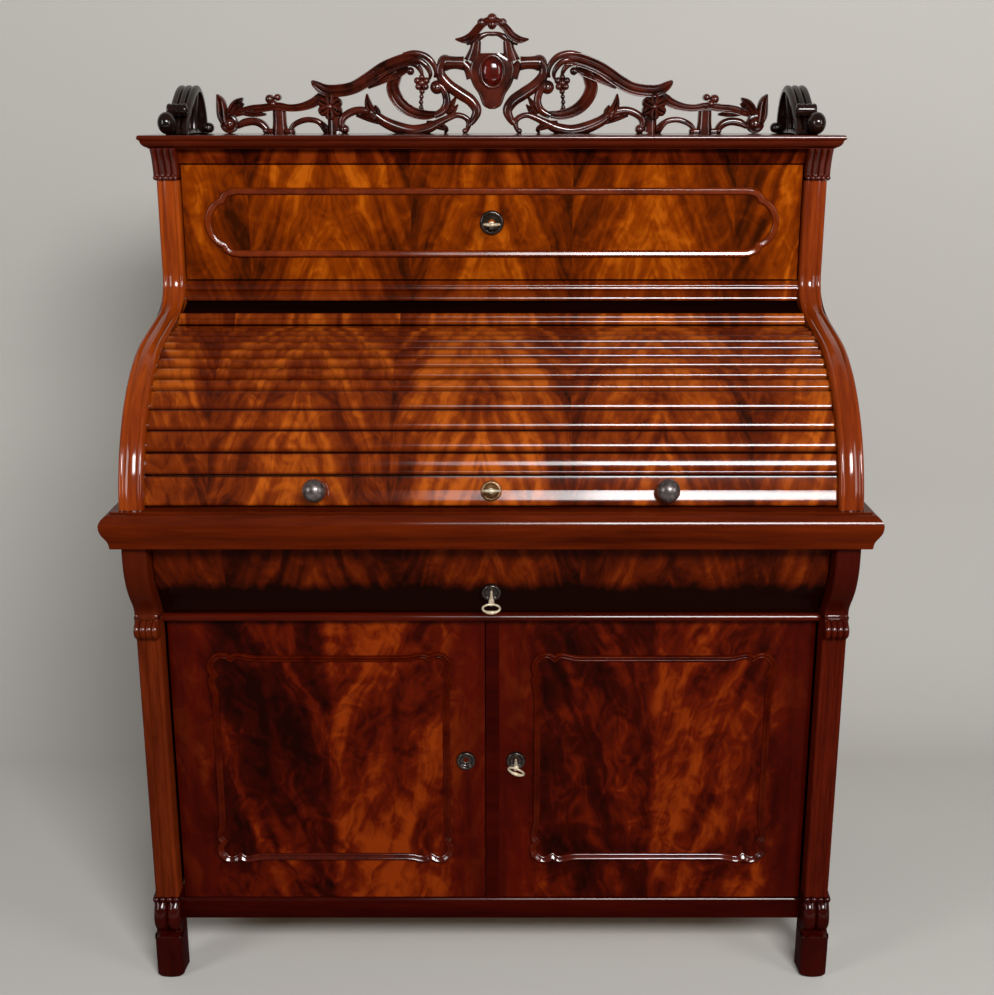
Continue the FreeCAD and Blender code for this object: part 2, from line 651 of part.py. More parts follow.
# Upper sides: boards behind the posts, with a groove for the ends of the slats
panel_edge = lip_radius - FIT / 3
upper_side = side_prism([
    (upper_shaft_back, cornice_bottom),
    *lip_arc(panel_edge),
    (carcass_back, WRITING_HEIGHT),
    (carcass_back, cornice_bottom),
], side_in, side_out)
ring_start = V(side_in - 1, axis_y, axis_z)
groove = rod(ring_start, V(1, 0, 0), lip_radius + 1, GROOVE_DEPTH + 1)
groove = groove.cut(rod(ring_start, V(1, 0, 0), track_radius, GROOVE_DEPTH + 1))
upper_side = upper_side.cut(groove)
upper_side = max(upper_side.Solids, key=lambda solid: solid.Volume)
save("upper_side_right", upper_side)
save("upper_side_left", mirrored(upper_side))
save("upper_back", box(-side_in, side_in, back_face, back_face + BACK_BOARD, WRITING_HEIGHT, cornice_bottom))

# Curtain: a lock rail and slats glued to canvas, which turn together about the track's axis
pitch_gap = SLAT_GAP / curtain_radius
slats = []
angle = rail_end
narrow_arc = curtain_radius * (math.radians(CURTAIN_END) - rail_end) - WIDE_SLAT * WIDE_SLAT_COUNT
for width in [WIDE_SLAT] * WIDE_SLAT_COUNT + [NARROW_SLAT] * round(narrow_arc / NARROW_SLAT):
    turn = width / curtain_radius
    slats.append(side_prism(track_sector(curtain_radius - SLAT_THICK, curtain_radius, angle + pitch_gap,
                                         angle + turn, SLAT_DOME), -slat_end, slat_end))
    angle += turn
tail_angle = angle
save("curtain_slats", *slats)
lock_rail = side_prism(track_sector(curtain_radius - SLAT_THICK, curtain_radius, rail_start, rail_end),
                       -slat_end, slat_end)
knob_y, knob_z = on_track(curtain_radius + FIT, rail_middle)
outward = V(0, -math.cos(rail_middle), math.sin(rail_middle))
knob_spots = [V(side * KNOB_SPACING / 2, knob_y, knob_z) for side in (-1, 1)]
peg_holes = [rod(spot, -outward, PEG_RADIUS + FIT / 3, 2 * SLAT_THICK) for spot in knob_spots]
save("curtain_lock_rail", cut_all(lock_rail, peg_holes + [curtain_lock["hole"]]))
canvas_outer = curtain_radius - SLAT_THICK - FIT / 3
canvas_start = rail_end - 3.0 / curtain_radius
save("curtain_canvas", side_prism(track_sector(canvas_outer - CANVAS_THICK, canvas_outer, canvas_start, tail_angle),
                                  -side_in + 20.0, side_in - 20.0))
knob_profile = trace([
    (0.0, -SLAT_THICK),
    (PEG_RADIUS, -SLAT_THICK),
    (PEG_RADIUS, 0.0),
    (KNOB_NECK, 0.0),
    (KNOB_NECK, KNOB_LENGTH * 0.3),
    ((KNOB_RADIUS, KNOB_LENGTH * 0.62), (KNOB_RADIUS * 0.6, KNOB_LENGTH * 0.96)),
    (0.0, KNOB_LENGTH),
], lambda r, h: V(r, -h, 0))
knob = knob_profile.revolve(V(0, 0, 0), V(0, 1, 0), 360)
knob.rotate(V(0, 0, 0), V(1, 0, 0), -math.degrees(rail_middle))
knobs = []
for spot in knob_spots:
    copy = knob.copy()
    copy.translate(spot)
    knobs.append(copy)
save("curtain_knobs", *knobs)
save("curtain_lock", curtain_lock["case"], curtain_lock["escutcheon"])
save("curtain_bolt", curtain_lock["bolt"])
save("curtain_key", curtain_lock["key"])

# Upper rail, with the reeded apron under it that closes the gap over the curtain, and the case floor
rail_front = upper_front + 4.0
rail_back = rail_front + RAIL_THICK
rail = side_prism([
    (rail_back, rail_top),
    (rail_front + 3.0, rail_top),
    (rail_front + 3.0, rail_top - 5.0),
    ((rail_front - 4.0, rail_bottom + RAIL_HEIGHT * 0.5), (rail_front + 3.0, rail_bottom + 4.0)),
    (rail_front + 3.0, rail_bottom),
    (rail_back, rail_bottom),
], -post_in, post_in)
apron_front = axis_y + 26.0
apron_z = axis_z + curtain_radius + 4.0
apron_rise = 10.0
apron_run = rail_front + 10.0 - apron_front
apron_steps = [(rail_back, rail_bottom), (rail_front + 10.0, rail_bottom)]
for reed_number in (2, 1, 0):
    share = (reed_number + 0.5) / 3
    low = reed_number / 3
    apron_steps.append((apron_front + apron_run * (low + 1 / 3), apron_z + apron_rise * (low + 1 / 3) + 7.0))
    apron_steps.append(((apron_front + apron_run * share, apron_z + apron_rise * share + 9.5),
                        (apron_front + apron_run * low, apron_z + apron_rise * low + 6.0)))
apron_steps += [(apron_front, apron_z), (rail_back, apron_z + apron_rise)]
save("upper_rail", rail, side_prism(apron_steps, -post_in, post_in))
save("upper_case_floor", box(-side_in, side_in, upper_shaft_back, back_face, rail_top - THIN_BOARD, rail_top)
     .cut(box(-post_in - 1, post_in + 1, upper_shaft_back - 1, rail_back, rail_top - THIN_BOARD - 1, rail_top + 1)))

# Upper drawer: a veneered front with a planted cartouche moulding, and a plain box
upper_drawer_depth = back_face - drawer_back - UPPER_DRAWER_GAP
upper_half = post_in - DOOR_GAP
upper_front_bottom = rail_top + DOOR_GAP
upper_panel = box(-upper_half, upper_half, drawer_front, drawer_back, upper_front_bottom, upper_front_top)
save("upper_drawer_front", cut_all(upper_panel, [upper_lock["pocket"], upper_lock["hole"]]))
save("upper_drawer_box", *drawer_box(base_box_half, drawer_back, drawer_back + upper_drawer_depth,
                                     rail_top + FIT, rail_top + FIT + UPPER_SIDE_HEIGHT))


def cartouche(inset, depth0, depth1):
    """A long panel whose ends step in and close with a half round."""
    x1 = upper_half - CARTOUCHE_SIDE - inset
    z0 = upper_front_bottom + CARTOUCHE_TOP + inset
    z1 = upper_front_top - CARTOUCHE_TOP - inset
    middle = (z0 + z1) / 2
    lobe = (z1 - z0) / 2 - CARTOUCHE_STEP
    x0 = x1 - lobe
    shoulder = x0 - CARTOUCHE_STEP
    bend = CARTOUCHE_STEP * math.sqrt(0.5)
    return front_prism([
        (-shoulder, z0),
        (shoulder, z0),
        ((x0 - CARTOUCHE_STEP + bend, z0 + CARTOUCHE_STEP - bend), (x0, z0 + CARTOUCHE_STEP)),
        ((x1, middle), (x0, z1 - CARTOUCHE_STEP)),
        ((x0 - CARTOUCHE_STEP + bend, z1 - CARTOUCHE_STEP + bend), (shoulder, z1)),
        (-shoulder, z1),
        ((-x0 + CARTOUCHE_STEP - bend, z1 - CARTOUCHE_STEP + bend), (-x0, z1 - CARTOUCHE_STEP)),
        ((-x1, middle), (-x0, z0 + CARTOUCHE_STEP)),
        ((-x0 + CARTOUCHE_STEP - bend, z0 + CARTOUCHE_STEP - bend), (-shoulder, z0)),
    ], depth0, depth1)


save("upper_drawer_moulding", cartouche(0, drawer_front - MOULDING_PROUD, drawer_front)
     .cut(cartouche(MOULDING_WIDTH, drawer_front - MOULDING_PROUD, drawer_front)))
save("upper_drawer_lock", upper_lock["case"], upper_lock["escutcheon"])
save("upper_drawer_bolt", upper_lock["bolt"])
save("upper_drawer_key", upper_lock["key"])

# Frieze rail, capitals and the cornice board with its round nose and cove
save("frieze_rail", box(-post_in, post_in, drawer_front, drawer_back, drawer_top, cornice_bottom)
     .cut(upper_lock["mortise"]))
capital = side_prism([
    (upper_shaft_back, cornice_bottom),
    (upper_front - CAPITAL_PROUD, cornice_bottom),
    (upper_front - CAPITAL_PROUD, cornice_bottom - CAPITAL_HEIGHT * 0.3),
    ((upper_front - CAPITAL_PROUD * 0.75, cornice_bottom - CAPITAL_HEIGHT * 0.62),
     (upper_front - CAPITAL_PROUD * 0.2, cornice_bottom - CAPITAL_HEIGHT * 0.8)),
    (upper_front - CAPITAL_PROUD * 0.2, capital_bottom),
    (upper_shaft_back, capital_bottom),
], post_in, half)
save("capitals", *both(capital))
cornice_front = upper_front - CORNICE_OVERHANG
cornice_half = half + CORNICE_OVERHANG
nose_low = cornice_top - CORNICE_HEIGHT * 0.42
cove = CORNICE_TUCK * 0.35


def cornice_edge(edge, inward):
    return [
        (edge + inward * 2.0, cornice_top),
        ((edge, (cornice_top + nose_low) / 2), (edge + inward * 3.0, nose_low)),
        ((edge + inward * (CORNICE_TUCK - cove), cornice_bottom + CORNICE_HEIGHT * 0.38),
         (edge + inward * CORNICE_TUCK, cornice_bottom)),
    ]


cornice = side_prism(cornice_edge(cornice_front, 1) + [(DEPTH / 2, cornice_bottom), (DEPTH / 2, cornice_top)],
                     -cornice_half, cornice_half)
right_edge = cornice_edge(cornice_half, -1)
cornice_profile = cornice_edge(-cornice_half, 1) + [
    right_edge[2][1],
    (right_edge[2][0], right_edge[1][1]),
    (right_edge[1][0], right_edge[0]),
]
save("cornice", cornice.common(front_prism(cornice_profile, cornice_front, DEPTH / 2)))


# Crest and gallery ends: pierced carving, its bars drawn as tapering ribbons along smooth curves
def ribbon(points, width0, width1):
    """Outline of a bar along a smooth curve through points, from half width width0 to width1."""
    curve = Part.BSplineCurve()
    curve.interpolate([V(a, b, 0) for a, b in points])
    count = 4 * len(points)
    left = []
    right = []
    for number in range(count + 1):
        share = number / count
        at = curve.FirstParameter + share * (curve.LastParameter - curve.FirstParameter)
        spot = curve.value(at)
        along = curve.tangent(at)[0]
        width = width0 + share * (width1 - width0)
        across = V(-along.y, along.x, 0) * width
        left.append(spot + across)
        right.append(spot - across)
    edge_a = Part.BSplineCurve()
    edge_a.interpolate(left)
    edge_b = Part.BSplineCurve()
    edge_b.interpolate(right)
    return Part.Face(Part.Wire([
        edge_a.toShape(),
        Part.LineSegment(left[-1], right[-1]).toShape(),
        edge_b.toShape(),
        Part.LineSegment(left[0], right[0]).toShape(),
    ]))


def disc(a, b, radius, hole=0.0):
    face = Part.Face(Part.Wire(Part.makeCircle(radius, V(a, b, 0))))
    if hole:
        face = face.cut(Part.Face(Part.Wire(Part.makeCircle(hole, V(a, b, 0)))))
    return face


def carved(faces, thick, unit):
    """Fused board from flat faces drawn in (across, up), cut off at its seat and scaled by unit."""
    bars = [face.extrude(V(0, 0, thick / unit)) for face in faces]
    board = bars[0].fuse(bars[1:])
    board = board.cut(Part.makeBox(4000, 400, 4 * thick, V(-2000, -400, -thick))).removeSplitter()
    return board.scaled(unit)


wing = [
    ribbon([(-92, 120), (-133, 136), (-190, 119), (-248, 92), (-318, 80), (-392, 60), (-440, 48)], 9, 8),
    ribbon([(-96, 122), (-84, 138), (-64, 132), (-56, 108), (-40, 82), (-27, 56), (-44, 6)], 6, 9),
    disc(-131, 71, 38, 26),
    ribbon([(-131, 100), (-131, 136)], 8, 6),
    ribbon([(-40, 5), (-84, 12), (-118, 36)], 8, 6),
    ribbon([(-144, 38), (-176, 12), (-214, 5)], 6, 8),
    ribbon([(-178, 124), (-196, 88), (-218, 58), (-214, 5)], 7, 9),
    ribbon([(-214, 6), (-246, 27), (-282, 5)], 7, 7),
    disc(-289, 44, 19),
    ribbon([(-289, -4), (-289, 84)], 13, 8),
    ribbon([(-296, 5), (-330, 25), (-364, 5)], 7, 7),
    ribbon([(-381, -4), (-381, 74)], 13, 9),
    ribbon([(-398, 5), (-428, 24), (-462, 8)], 6, 8),
    disc(-468, 15, 16),
    ribbon([(-470, 8), (-462, 40), (-482, 66)], 13, 7),
    ribbon([(-462, 34), (-430, 50)], 9, 8),
]
centre = [
    disc(0, 104, 40),
    ribbon([(0, -4), (0, 90)], 22, 32),
    ribbon([(-66, 150), (-30, 166), (0, 178), (30, 166), (66, 150)], 8, 8),
    disc(0, 188, 13),
    disc(-20, 182, 9),
    disc(20, 182, 9),
    ribbon([(-34, 120), (-36, 162)], 7, 7),
    ribbon([(34, 120), (36, 162)], 7, 7),
]
mirror_wing = [face.mirror(V(0, 0, 0), V(1, 0, 0)) for face in wing]
crest_back = carcass_back - CREST_BEHIND + CREST_THICK
crest = carved(wing + centre + mirror_wing, CREST_THICK, CREST_LENGTH / 972.0)
crest.rotate(V(0, 0, 0), V(1, 0, 0), 90)
crest.translate(V(0, crest_back, cornice_top))
save("crest", crest)

gallery_unit = GALLERY_HEIGHT / 85.0
gallery_run = (carcass_back - CREST_BEHIND - upper_front) / gallery_unit
gallery_ball = GALLERY_FRONT / gallery_unit
gallery = carved([
    disc(gallery_ball + 4, 19, 19),
    disc(gallery_ball + 34, 42, 13),
    ribbon([(gallery_ball + 8, 8), (gallery_ball + 34, 38), (gallery_ball + 80, 66), (gallery_run * 0.66, 76),
            (gallery_run * 0.9, 56), (gallery_run, 6)], 9, 9),
    ribbon([(gallery_ball + 20, 5), (gallery_run * 0.5, 7), (gallery_run, 5)], 8, 8),
    ribbon([(gallery_run * 0.5, 5), (gallery_run * 0.62, 74)], 8, 6),
], GALLERY_WIDTH, gallery_unit)
gallery.rotate(V(0, 0, 0), V(1, 1, 1), 120)
gallery.translate(V(cornice_half - GALLERY_INSET - GALLERY_WIDTH, upper_front, cornice_top))
save("gallery_ends", *both(gallery))

# Pigeonhole case on the writing top, inside the curtain's track, with small drawers below
case_half = side_in - CASE_END_GAP
case_depth = track_radius * CASE_DEPTH_SHARE
case_back = case_front + case_depth
case_top = axis_z + math.sqrt((track_radius - CASE_CLEARANCE) ** 2 - case_depth ** 2)
case_room = case_top - WRITING_HEIGHT - 3 * CASE_BOARD
shelf_low = WRITING_HEIGHT + CASE_BOARD + case_room * CASE_DRAWER_SHARE
shelf_high = shelf_low + CASE_BOARD
t = CASE_BOARD
case_boards = [
    box(-case_half, case_half, case_front, case_back, WRITING_HEIGHT, WRITING_HEIGHT + t),
    box(-case_half, case_half, case_front, case_back, shelf_low, shelf_high),
    box(-case_half, case_half, case_front, case_back, case_top - t, case_top),
]
levels = ((WRITING_HEIGHT + t, shelf_low, CASE_DRAWER_COUNT), (shelf_high, case_top - t, CASE_HOLE_COUNT))
for low, high, count in levels:
    bay = (2 * case_half - t) / count
    for number in range(count + 1):
        x = -case_half + number * bay
        case_boards.append(box(x, x + t, case_front, case_back - t, low, high))
    case_boards.append(box(-case_half, case_half, case_back - t, case_back, low, high))
save("pigeonhole_case", *case_boards)

drawer_bay = (2 * case_half - t) / CASE_DRAWER_COUNT
small_wall = 6.0
for number, name in enumerate(("left", "middle", "right")[:CASE_DRAWER_COUNT]):
    x0 = -case_half + number * drawer_bay + t + 0.5
    x1 = -case_half + (number + 1) * drawer_bay - 0.5
    y1 = case_back - t - 4.0
    z0 = WRITING_HEIGHT + t + FIT
    z1 = shelf_low - 0.8
    face = box(x0, x1, case_front, case_front + 2 * small_wall, z0, z1)
    walls = [
        box(x0, x0 + small_wall, case_front + 2 * small_wall, y1, z0, z1 - 6.0),
        box(x1 - small_wall, x1, case_front + 2 * small_wall, y1, z0, z1 - 6.0),
        box(x0 + small_wall, x1 - small_wall, y1 - small_wall, y1, z0, z1 - 6.0),
        box(x0 + small_wall, x1 - small_wall, case_front + 2 * small_wall, y1 - small_wall, z0, z0 + 4.0),
    ]
    pull_axis = V(0, -1, 0)
    pull_spot = V((x0 + x1) / 2, case_front, (z0 + z1) / 2)
    stem = rod(pull_spot, pull_axis, 4.0, 8.0)
    ball = Part.makeSphere(8.0, pull_spot + pull_axis * 13.0)
    save("small_drawer_" + name, face.fuse([stem, ball]), *walls)

# The curtain's axis and the doors' pivots, for the joints
print("curtain axis", round(axis_y, 3), round(axis_z, 3))
print("rail middle angle", round(math.degrees(rail_middle), 3), "tail", round(math.degrees(tail_angle), 3))
print("pivot", round(pivot_x, 3), round(pivot_y, 3))
print("upper key", round(drawer_front, 3), round(upper_key_z, 3))
print("base key", round(base_key_y, 3), round(base_key_z, 3))
print("curtain key", round(curtain_lock_y, 3), round(curtain_lock_z, 3))
print("door key", round(door_lock_x, 3), round(door_front, 3), round(door_lock_z, 3))
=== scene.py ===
from math import acos, asin, atan2, cos, hypot, pi, radians, sin, sqrt, tan, tau
import bmesh
import bpy
from mathutils import Matrix, Vector


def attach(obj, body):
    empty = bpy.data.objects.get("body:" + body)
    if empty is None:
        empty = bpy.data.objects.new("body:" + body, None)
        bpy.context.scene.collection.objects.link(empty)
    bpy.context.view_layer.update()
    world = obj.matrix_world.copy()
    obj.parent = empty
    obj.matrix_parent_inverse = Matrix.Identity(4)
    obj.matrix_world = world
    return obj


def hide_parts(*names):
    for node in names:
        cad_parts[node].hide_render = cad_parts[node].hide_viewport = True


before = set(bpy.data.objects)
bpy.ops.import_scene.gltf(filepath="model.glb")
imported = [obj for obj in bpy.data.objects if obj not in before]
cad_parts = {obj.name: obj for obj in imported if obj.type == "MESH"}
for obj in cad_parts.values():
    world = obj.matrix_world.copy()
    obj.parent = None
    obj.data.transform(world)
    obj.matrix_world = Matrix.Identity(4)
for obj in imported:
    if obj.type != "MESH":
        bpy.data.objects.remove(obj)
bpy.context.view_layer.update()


# Carcass boards
# The hidden frame of the desk: oak drawer linings, floors and backs, left bare, and the
# mahogany sides, which are plain polished boards. All are glued and screwed together.
class Finish:
    """A shader socket of a finish, for use in plain arithmetic."""

    def __init__(self, tree, socket=None):
        self.tree = tree
        self.socket = socket

    def node(self, kind, inputs=None, output=0, **settings):
        made = self.tree.nodes.new("ShaderNode" + kind)
        for key, value in settings.items():
            setattr(made, key, value)
        for key, value in (inputs or {}).items():
            if isinstance(value, Finish):
                self.tree.links.new(value.socket, made.inputs[key])
            else:
                made.inputs[key].default_value = value
        return Finish(self.tree, made.outputs[output])

    def math(self, operation, first, second=0):
        return self.node("Math", {0: first, 1: second}, operation=operation)

    def __add__(self, other):
        return self.math("ADD", self, other)

    def __sub__(self, other):
        return self.math("SUBTRACT", self, other)

    def __rsub__(self, other):
        return self.math("SUBTRACT", other, self)

    def __mul__(self, other):
        return self.math("MULTIPLY", self, other)

    __radd__ = __add__
    __rmul__ = __mul__

    def blend(self, factor, first, second):
        return self.node("Mix", {0: factor, 6: first, 7: second}, 2, data_type="RGBA")

    def ramp(self, low, high):
        """0 below low and 1 above high, smooth between."""
        return self.node("MapRange", {0: self, 1: low, 2: high}, interpolation_type="SMOOTHSTEP")

    def place(self, kind="Object"):
        """Where a point lies, in m; with kind "Normal", the way its face looks."""
        return self.node("TexCoord", output=kind)

    def parts(self):
        """The x, y and z of a place."""
        made = self.node("SeparateXYZ", {0: self}).socket.node
        return [Finish(self.tree, socket) for socket in made.outputs]

    def join(self, x, y, z):
        return self.node("CombineXYZ", {0: x, 1: y, 2: z})

    def noise(self, scale, detail, rough, twist=0):
        """Soft noise at a place."""
        return self.node("TexNoise", {0: self, 2: scale, 3: detail, 4: rough, 8: twist})

    def colours(self, stops):
        """A run of colours; stops lists (value, colour from 0 to 255)."""
        run = self.node("ValToRGB", {0: self})
        elements = run.socket.node.color_ramp.elements
        elements.remove(elements[1])
        elements[0].position = stops[0][0]
        elements[0].color = srgb(*stops[0][1])
        for value, colour in stops[1:]:
            elements.new(value).color = srgb(*colour)
        return run

    def feed(self, socket, node="Principled BSDF"):
        self.tree.links.new(self.socket, self.tree.nodes[node].inputs[socket])


def srgb(red, green, blue):
    """A colour as it is read off a screen, 0 to 255, turned into the shader's own scale."""
    linear = [((v / 255 + 0.055) / 1.055) ** 2.4 if v > 10 else v / 3294.6 for v in (red, green, blue)]
    return (*linear, 1)


def new_finish(name, roughness, coat=0, coat_roughness=0.05, metallic=0):
    """A surface with no mirror gleam of its own, so that only its coat shines."""
    material = bpy.data.materials.new(name)
    material.use_nodes = True
    inputs = material.node_tree.nodes["Principled BSDF"].inputs
    for socket, value in (("Roughness", roughness), ("Metallic", metallic), ("Specular IOR Level", 0),
                          ("Coat Weight", coat), ("Coat Roughness", coat_roughness)):
        inputs[socket].default_value = value
    return material, Finish(material.node_tree)


def polish(finish, top, side, fade=None):
    """Polish that lies thick on faces that look up and is rubbed thin on upright ones. With fade,
    two heights in m, it also thins out from the lower height to the higher one."""
    coat = finish.place("Normal").parts()[2].ramp(0.06, 0.3) * (top - side) + side
    if fade:
        coat = coat * (1 - finish.place().parts()[2].ramp(*fade) * 0.92)
    coat.feed("Coat Weight")


def plain_wood(name, dark, light, stretch, roughness=0.4, top=0.15, side=0.05, fade=None, gloom=None):
    """Straight-grained wood: long soft streaks along the axis that stretch makes slow. With gloom,
    two heights in m and a share, painted shade sinks it to its dark tone from the lower height to the higher
    one."""
    material, finish = new_finish(name, roughness, 0, 0.1)
    polish(finish, top, side, fade)
    along = finish.node("Mapping", {0: finish.place(), 3: stretch})
    broad, fine = along.noise(1, 3, 0.55, 0.6), along.noise(6, 4, 0.6)
    colour = (broad * 0.65 + fine * 0.35).colours([(0.34, dark), (0.66, light)])
    if gloom:
        low, high, share = gloom
        # Painted shade: blends towards the dark tone upwards between the two heights.
        colour = finish.blend(finish.place().parts()[2].ramp(low, high) * share, colour, srgb(*dark))
    colour.feed("Base Color")
    (fine * 0.2 + (roughness - 0.1)).feed("Roughness")
    return material


def paint(node, material):
    """Gives a board of the frame its finish."""
    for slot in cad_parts[node].material_slots:
        slot.material = material


bare_oak = plain_wood("bare_oak", (150, 112, 70), (196, 158, 108), (2, 30, 30), 0.6, 0, 0)
box_oak = plain_wood("box_oak", (158, 120, 76), (192, 154, 104), (22, 2.2, 34), 0.6, 0, 0)
side_mahogany = plain_wood("side_mahogany", (54, 12, 2), (86, 26, 5), (26, 26, 2.2))
for node in ("base_back", "base_floor", "base_shelf", "drawer_divider", "guides_and_battens", "upper_back",
             "upper_case_floor"):
    paint(node, bare_oak)
for node in ("base_drawer_box", "upper_drawer_box"):
    paint(node, box_oak)
for node in ("base_side_left", "base_side_right", "upper_side_left", "upper_side_right", "rear_feet",
             "pigeonhole_case", "small_drawer_left", "small_drawer_middle", "small_drawer_right"):
    paint(node, side_mahogany)


# Front feet
# Solid mahogany blocks with a bowed face, a lip on top, a knuckle carved as two round lobes
# and a band of small beads. They are dowelled up into the pilasters.
class Shape:
    """The skin of a piece; sizes come in mm, and its points are kept in m."""

    def __init__(self):
        self.points, self.faces = [], []

    def skin(self, rings, loop=False):
        """Joins rings of points of equal count, capped at both ends or closed to a loop."""
        rings = rings + rings[:1] if loop else rings
        start, count = len(self.points), len(rings[0])
        for ring in rings:
            self.points += [tuple(v / 1000 for v in point) for point in ring]
        for row in range(len(rings) - 1):
            low = start + row * count
            for i in range(count):
                j = (i + 1) % count
                self.faces.append((low + i, low + j, low + count + j, low + count + i))
        if not loop:
            self.faces.append(tuple(range(start + count - 1, start - 1, -1)))
            self.faces.append(tuple(range(start + (len(rings) - 1) * count, start + len(rings) * count)))

    def mesh(self, name):
        """A mesh whose faces all look outwards."""
        mesh = bpy.data.meshes.new(name)
        mesh.from_pydata(self.points, [], self.faces)
        work = bmesh.new()
        work.from_mesh(mesh)
        bmesh.ops.recalc_face_normals(work, faces=work.faces)
        work.to_mesh(mesh)
        work.free()
        return mesh


def put(name, data):
    """Puts a mesh, lamp or camera in the scene."""
    thing = bpy.data.objects.new(name, data)
    bpy.context.scene.collection.objects.link(thing)
    return thing


def add_piece(node, mesh, material, body):
    """Puts a mesh on its body, in place of a node of the frame."""
    mesh.materials.append(material)
    piece = put(mesh.name, mesh)
    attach(piece, body)
    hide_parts(node)
    return piece


def new_piece(node, shape, material, sharp=35, body="carcass", name=None):
    """A smooth piece in place of a node, crisp where faces meet at more than sharp degrees."""
    mesh = shape.mesh(name or node + "_worked")
    mesh.shade_smooth()
    mesh.set_sharp_from_angle(angle=radians(sharp))
    return add_piece(node, mesh, material, body)


def square_to(line, step):
    """The direction square to a line at one of its points, to the left of its run."""
    (a0, b0), (a1, b1) = line[max(step - 1, 0)][:2], line[min(step + 1, len(line) - 1)][:2]
    run = hypot(a1 - a0, b1 - b0)
    return (b0 - b1) / run, (a1 - a0) / run


def worked_strip(path, backs, depth_at, x0, x1, shape, across=36):
    """A strip that follows a (y, z) path in mm from its foot upwards, with its back at backs.
    depth_at(share, step) sinks the face at a share of the width."""
    rings = []
    for step, (y, z) in enumerate(path):
        out_y, out_z = square_to(path, step)
        ring = []
        for k in range(across + 1):
            depth = depth_at(k / across, step)
            ring.append((x0 + (x1 - x0) * k / across, y - out_y * depth, z - out_z * depth))
        rings.append(ring + [(x1, *backs[step]), (x0, *backs[step])])
    shape.skin(rings)


def lobes(share, count, depth):
    """How deep a row of round lobes side by side lies below their crowns."""
    place = (share * count) % 1
    return depth * (1 - max(0, 1 - (2 * place - 1) ** 2) ** 0.5)


foot_path = [
    (-246, 0), (-249, 1.5), (-250.3, 5), (-251, 20), (-251.6, 70), (-251.8, 74), (-252.6, 75.6), (-253, 77.4),
    (-252.4, 79.2), (-250, 80), (-243, 80.6), (-240, 82), (-242.5, 84.5), (-246.5, 89), (-249.8, 95),
    (-251.6, 102), (-252, 109), (-251, 116.5), (-248.6, 124), (-245, 130.5), (-240.5, 135), (-239, 136.4),
    (-243.5, 137.6), (-246.6, 139.6), (-247.6, 142.6), (-246.6, 145.6), (-244, 147.6), (-241, 149)]
knuckle_start, band_start = 11, 21


def edge_drop(share, power):
    """How a worked face falls away to its long edges; a high power keeps it flat for longer."""
    return 1 - (1 - abs(2 * share - 1) ** power) ** 0.5


def foot_depth(share, step):
    edge = edge_drop(share, 5)
    if step < knuckle_start:
        return 3.2 * (2 * share - 1) ** 2 + 5 * edge
    if step < band_start:
        return lobes(share, 2, 9) + 1.5 * edge
    return lobes(share, 4, 4.5) + edge


foot_mahogany = plain_wood("foot_mahogany", (32, 2, 1), (52, 6, 2), (24, 24, 5), 0.4, 0.5, 0.08)
shape = Shape()
for low, high in ((-556, -512), (512, 556)):
    worked_strip(foot_path, [(-204, z) for y, z in foot_path], foot_depth, low, high, shape)
new_piece("front_feet", shape, foot_mahogany, 50)


# Plinth rail
# A deep mahogany rail between the feet, its top edge rounded to a thin bead in front of the doors.
rail_half = 512


def extrude_x(profile, half, shape):
    """Adds a closed (y, z) profile in mm, pulled to half on either side of the middle."""
    shape.skin([[(x, y, z) for y, z in profile] for x in (-half, half)])


def eased(start, pieces, steps=5):
    """A rounded edge from start (y, z) in mm; pieces lists (from, to, radius), where from and to
    say how far the face looks up, in degrees."""
    line = [start]
    for low, high, radius in pieces:
        for k in range(steps):
            a, b = (radians(low + (high - low) * n / steps) for n in (k, k + 1))
            y, z = line[-1]
            line.append((y + radius * (cos(a) - cos(b)), z + radius * (sin(b) - sin(a))))
    return line


along_x = (2.2, 26, 26)
rail_mahogany = plain_wood("rail_mahogany", (34, 2, 1), (54, 7, 2), along_x, 0.4, 0.4, 0.03)
shape = Shape()
extrude_x([(-187, 126), (-187, 88), (-209, 88), (-211, 89), (-212, 91)]
          + eased((-212, 120.8), [(0, 28, 4), (28, 44, 12), (44, 90, 2)]) + [(-205, 126)], rail_half, shape)
new_piece("plinth_rail", shape, rail_mahogany)


# Pilasters
# Fluted mahogany shafts, each with a carved ring of lobes and a plain console that swells out
# to carry the writing top. Each is one piece, glued to the front edge of a side.
def smooth_line(marks, per):
    """A smooth line of points through marks, with per points from one mark to the next."""
    ends = [marks[0]] + list(marks) + [marks[-1]]
    line = []
    for i in range(1, len(ends) - 2):
        a, b, c, d = (Vector(p) for p in ends[i - 1:i + 3])
        for k in range(per):
            t = k / per
            line.append(tuple(0.5 * (2 * b + (c - a) * t + (2 * a - 5 * b + 4 * c - d) * t * t
                                     + (3 * b - a - 3 * c + d) * t ** 3)))
    return line + [tuple(marks[-1])]


shaft_path = [(-246, 149), (-246, 596), (-247, 599)]
ring_path = smooth_line([
    (-248, 601), (-257, 605), (-263, 611), (-264.6, 618), (-262, 625), (-256, 631), (-252.6, 634)], 4)
console_path = smooth_line([
    (-254.6, 635), (-255.2, 637), (-253, 639), (-251, 643), (-253, 650), (-259, 659), (-267, 668.5),
    (-276.5, 681), (-285, 696), (-291.4, 713), (-295, 730), (-296, 748)], 4)
pilaster_path = shaft_path + ring_path + console_path + [(-296, 766)]
ring_start, ring_end = len(shaft_path), len(shaft_path) + len(ring_path)


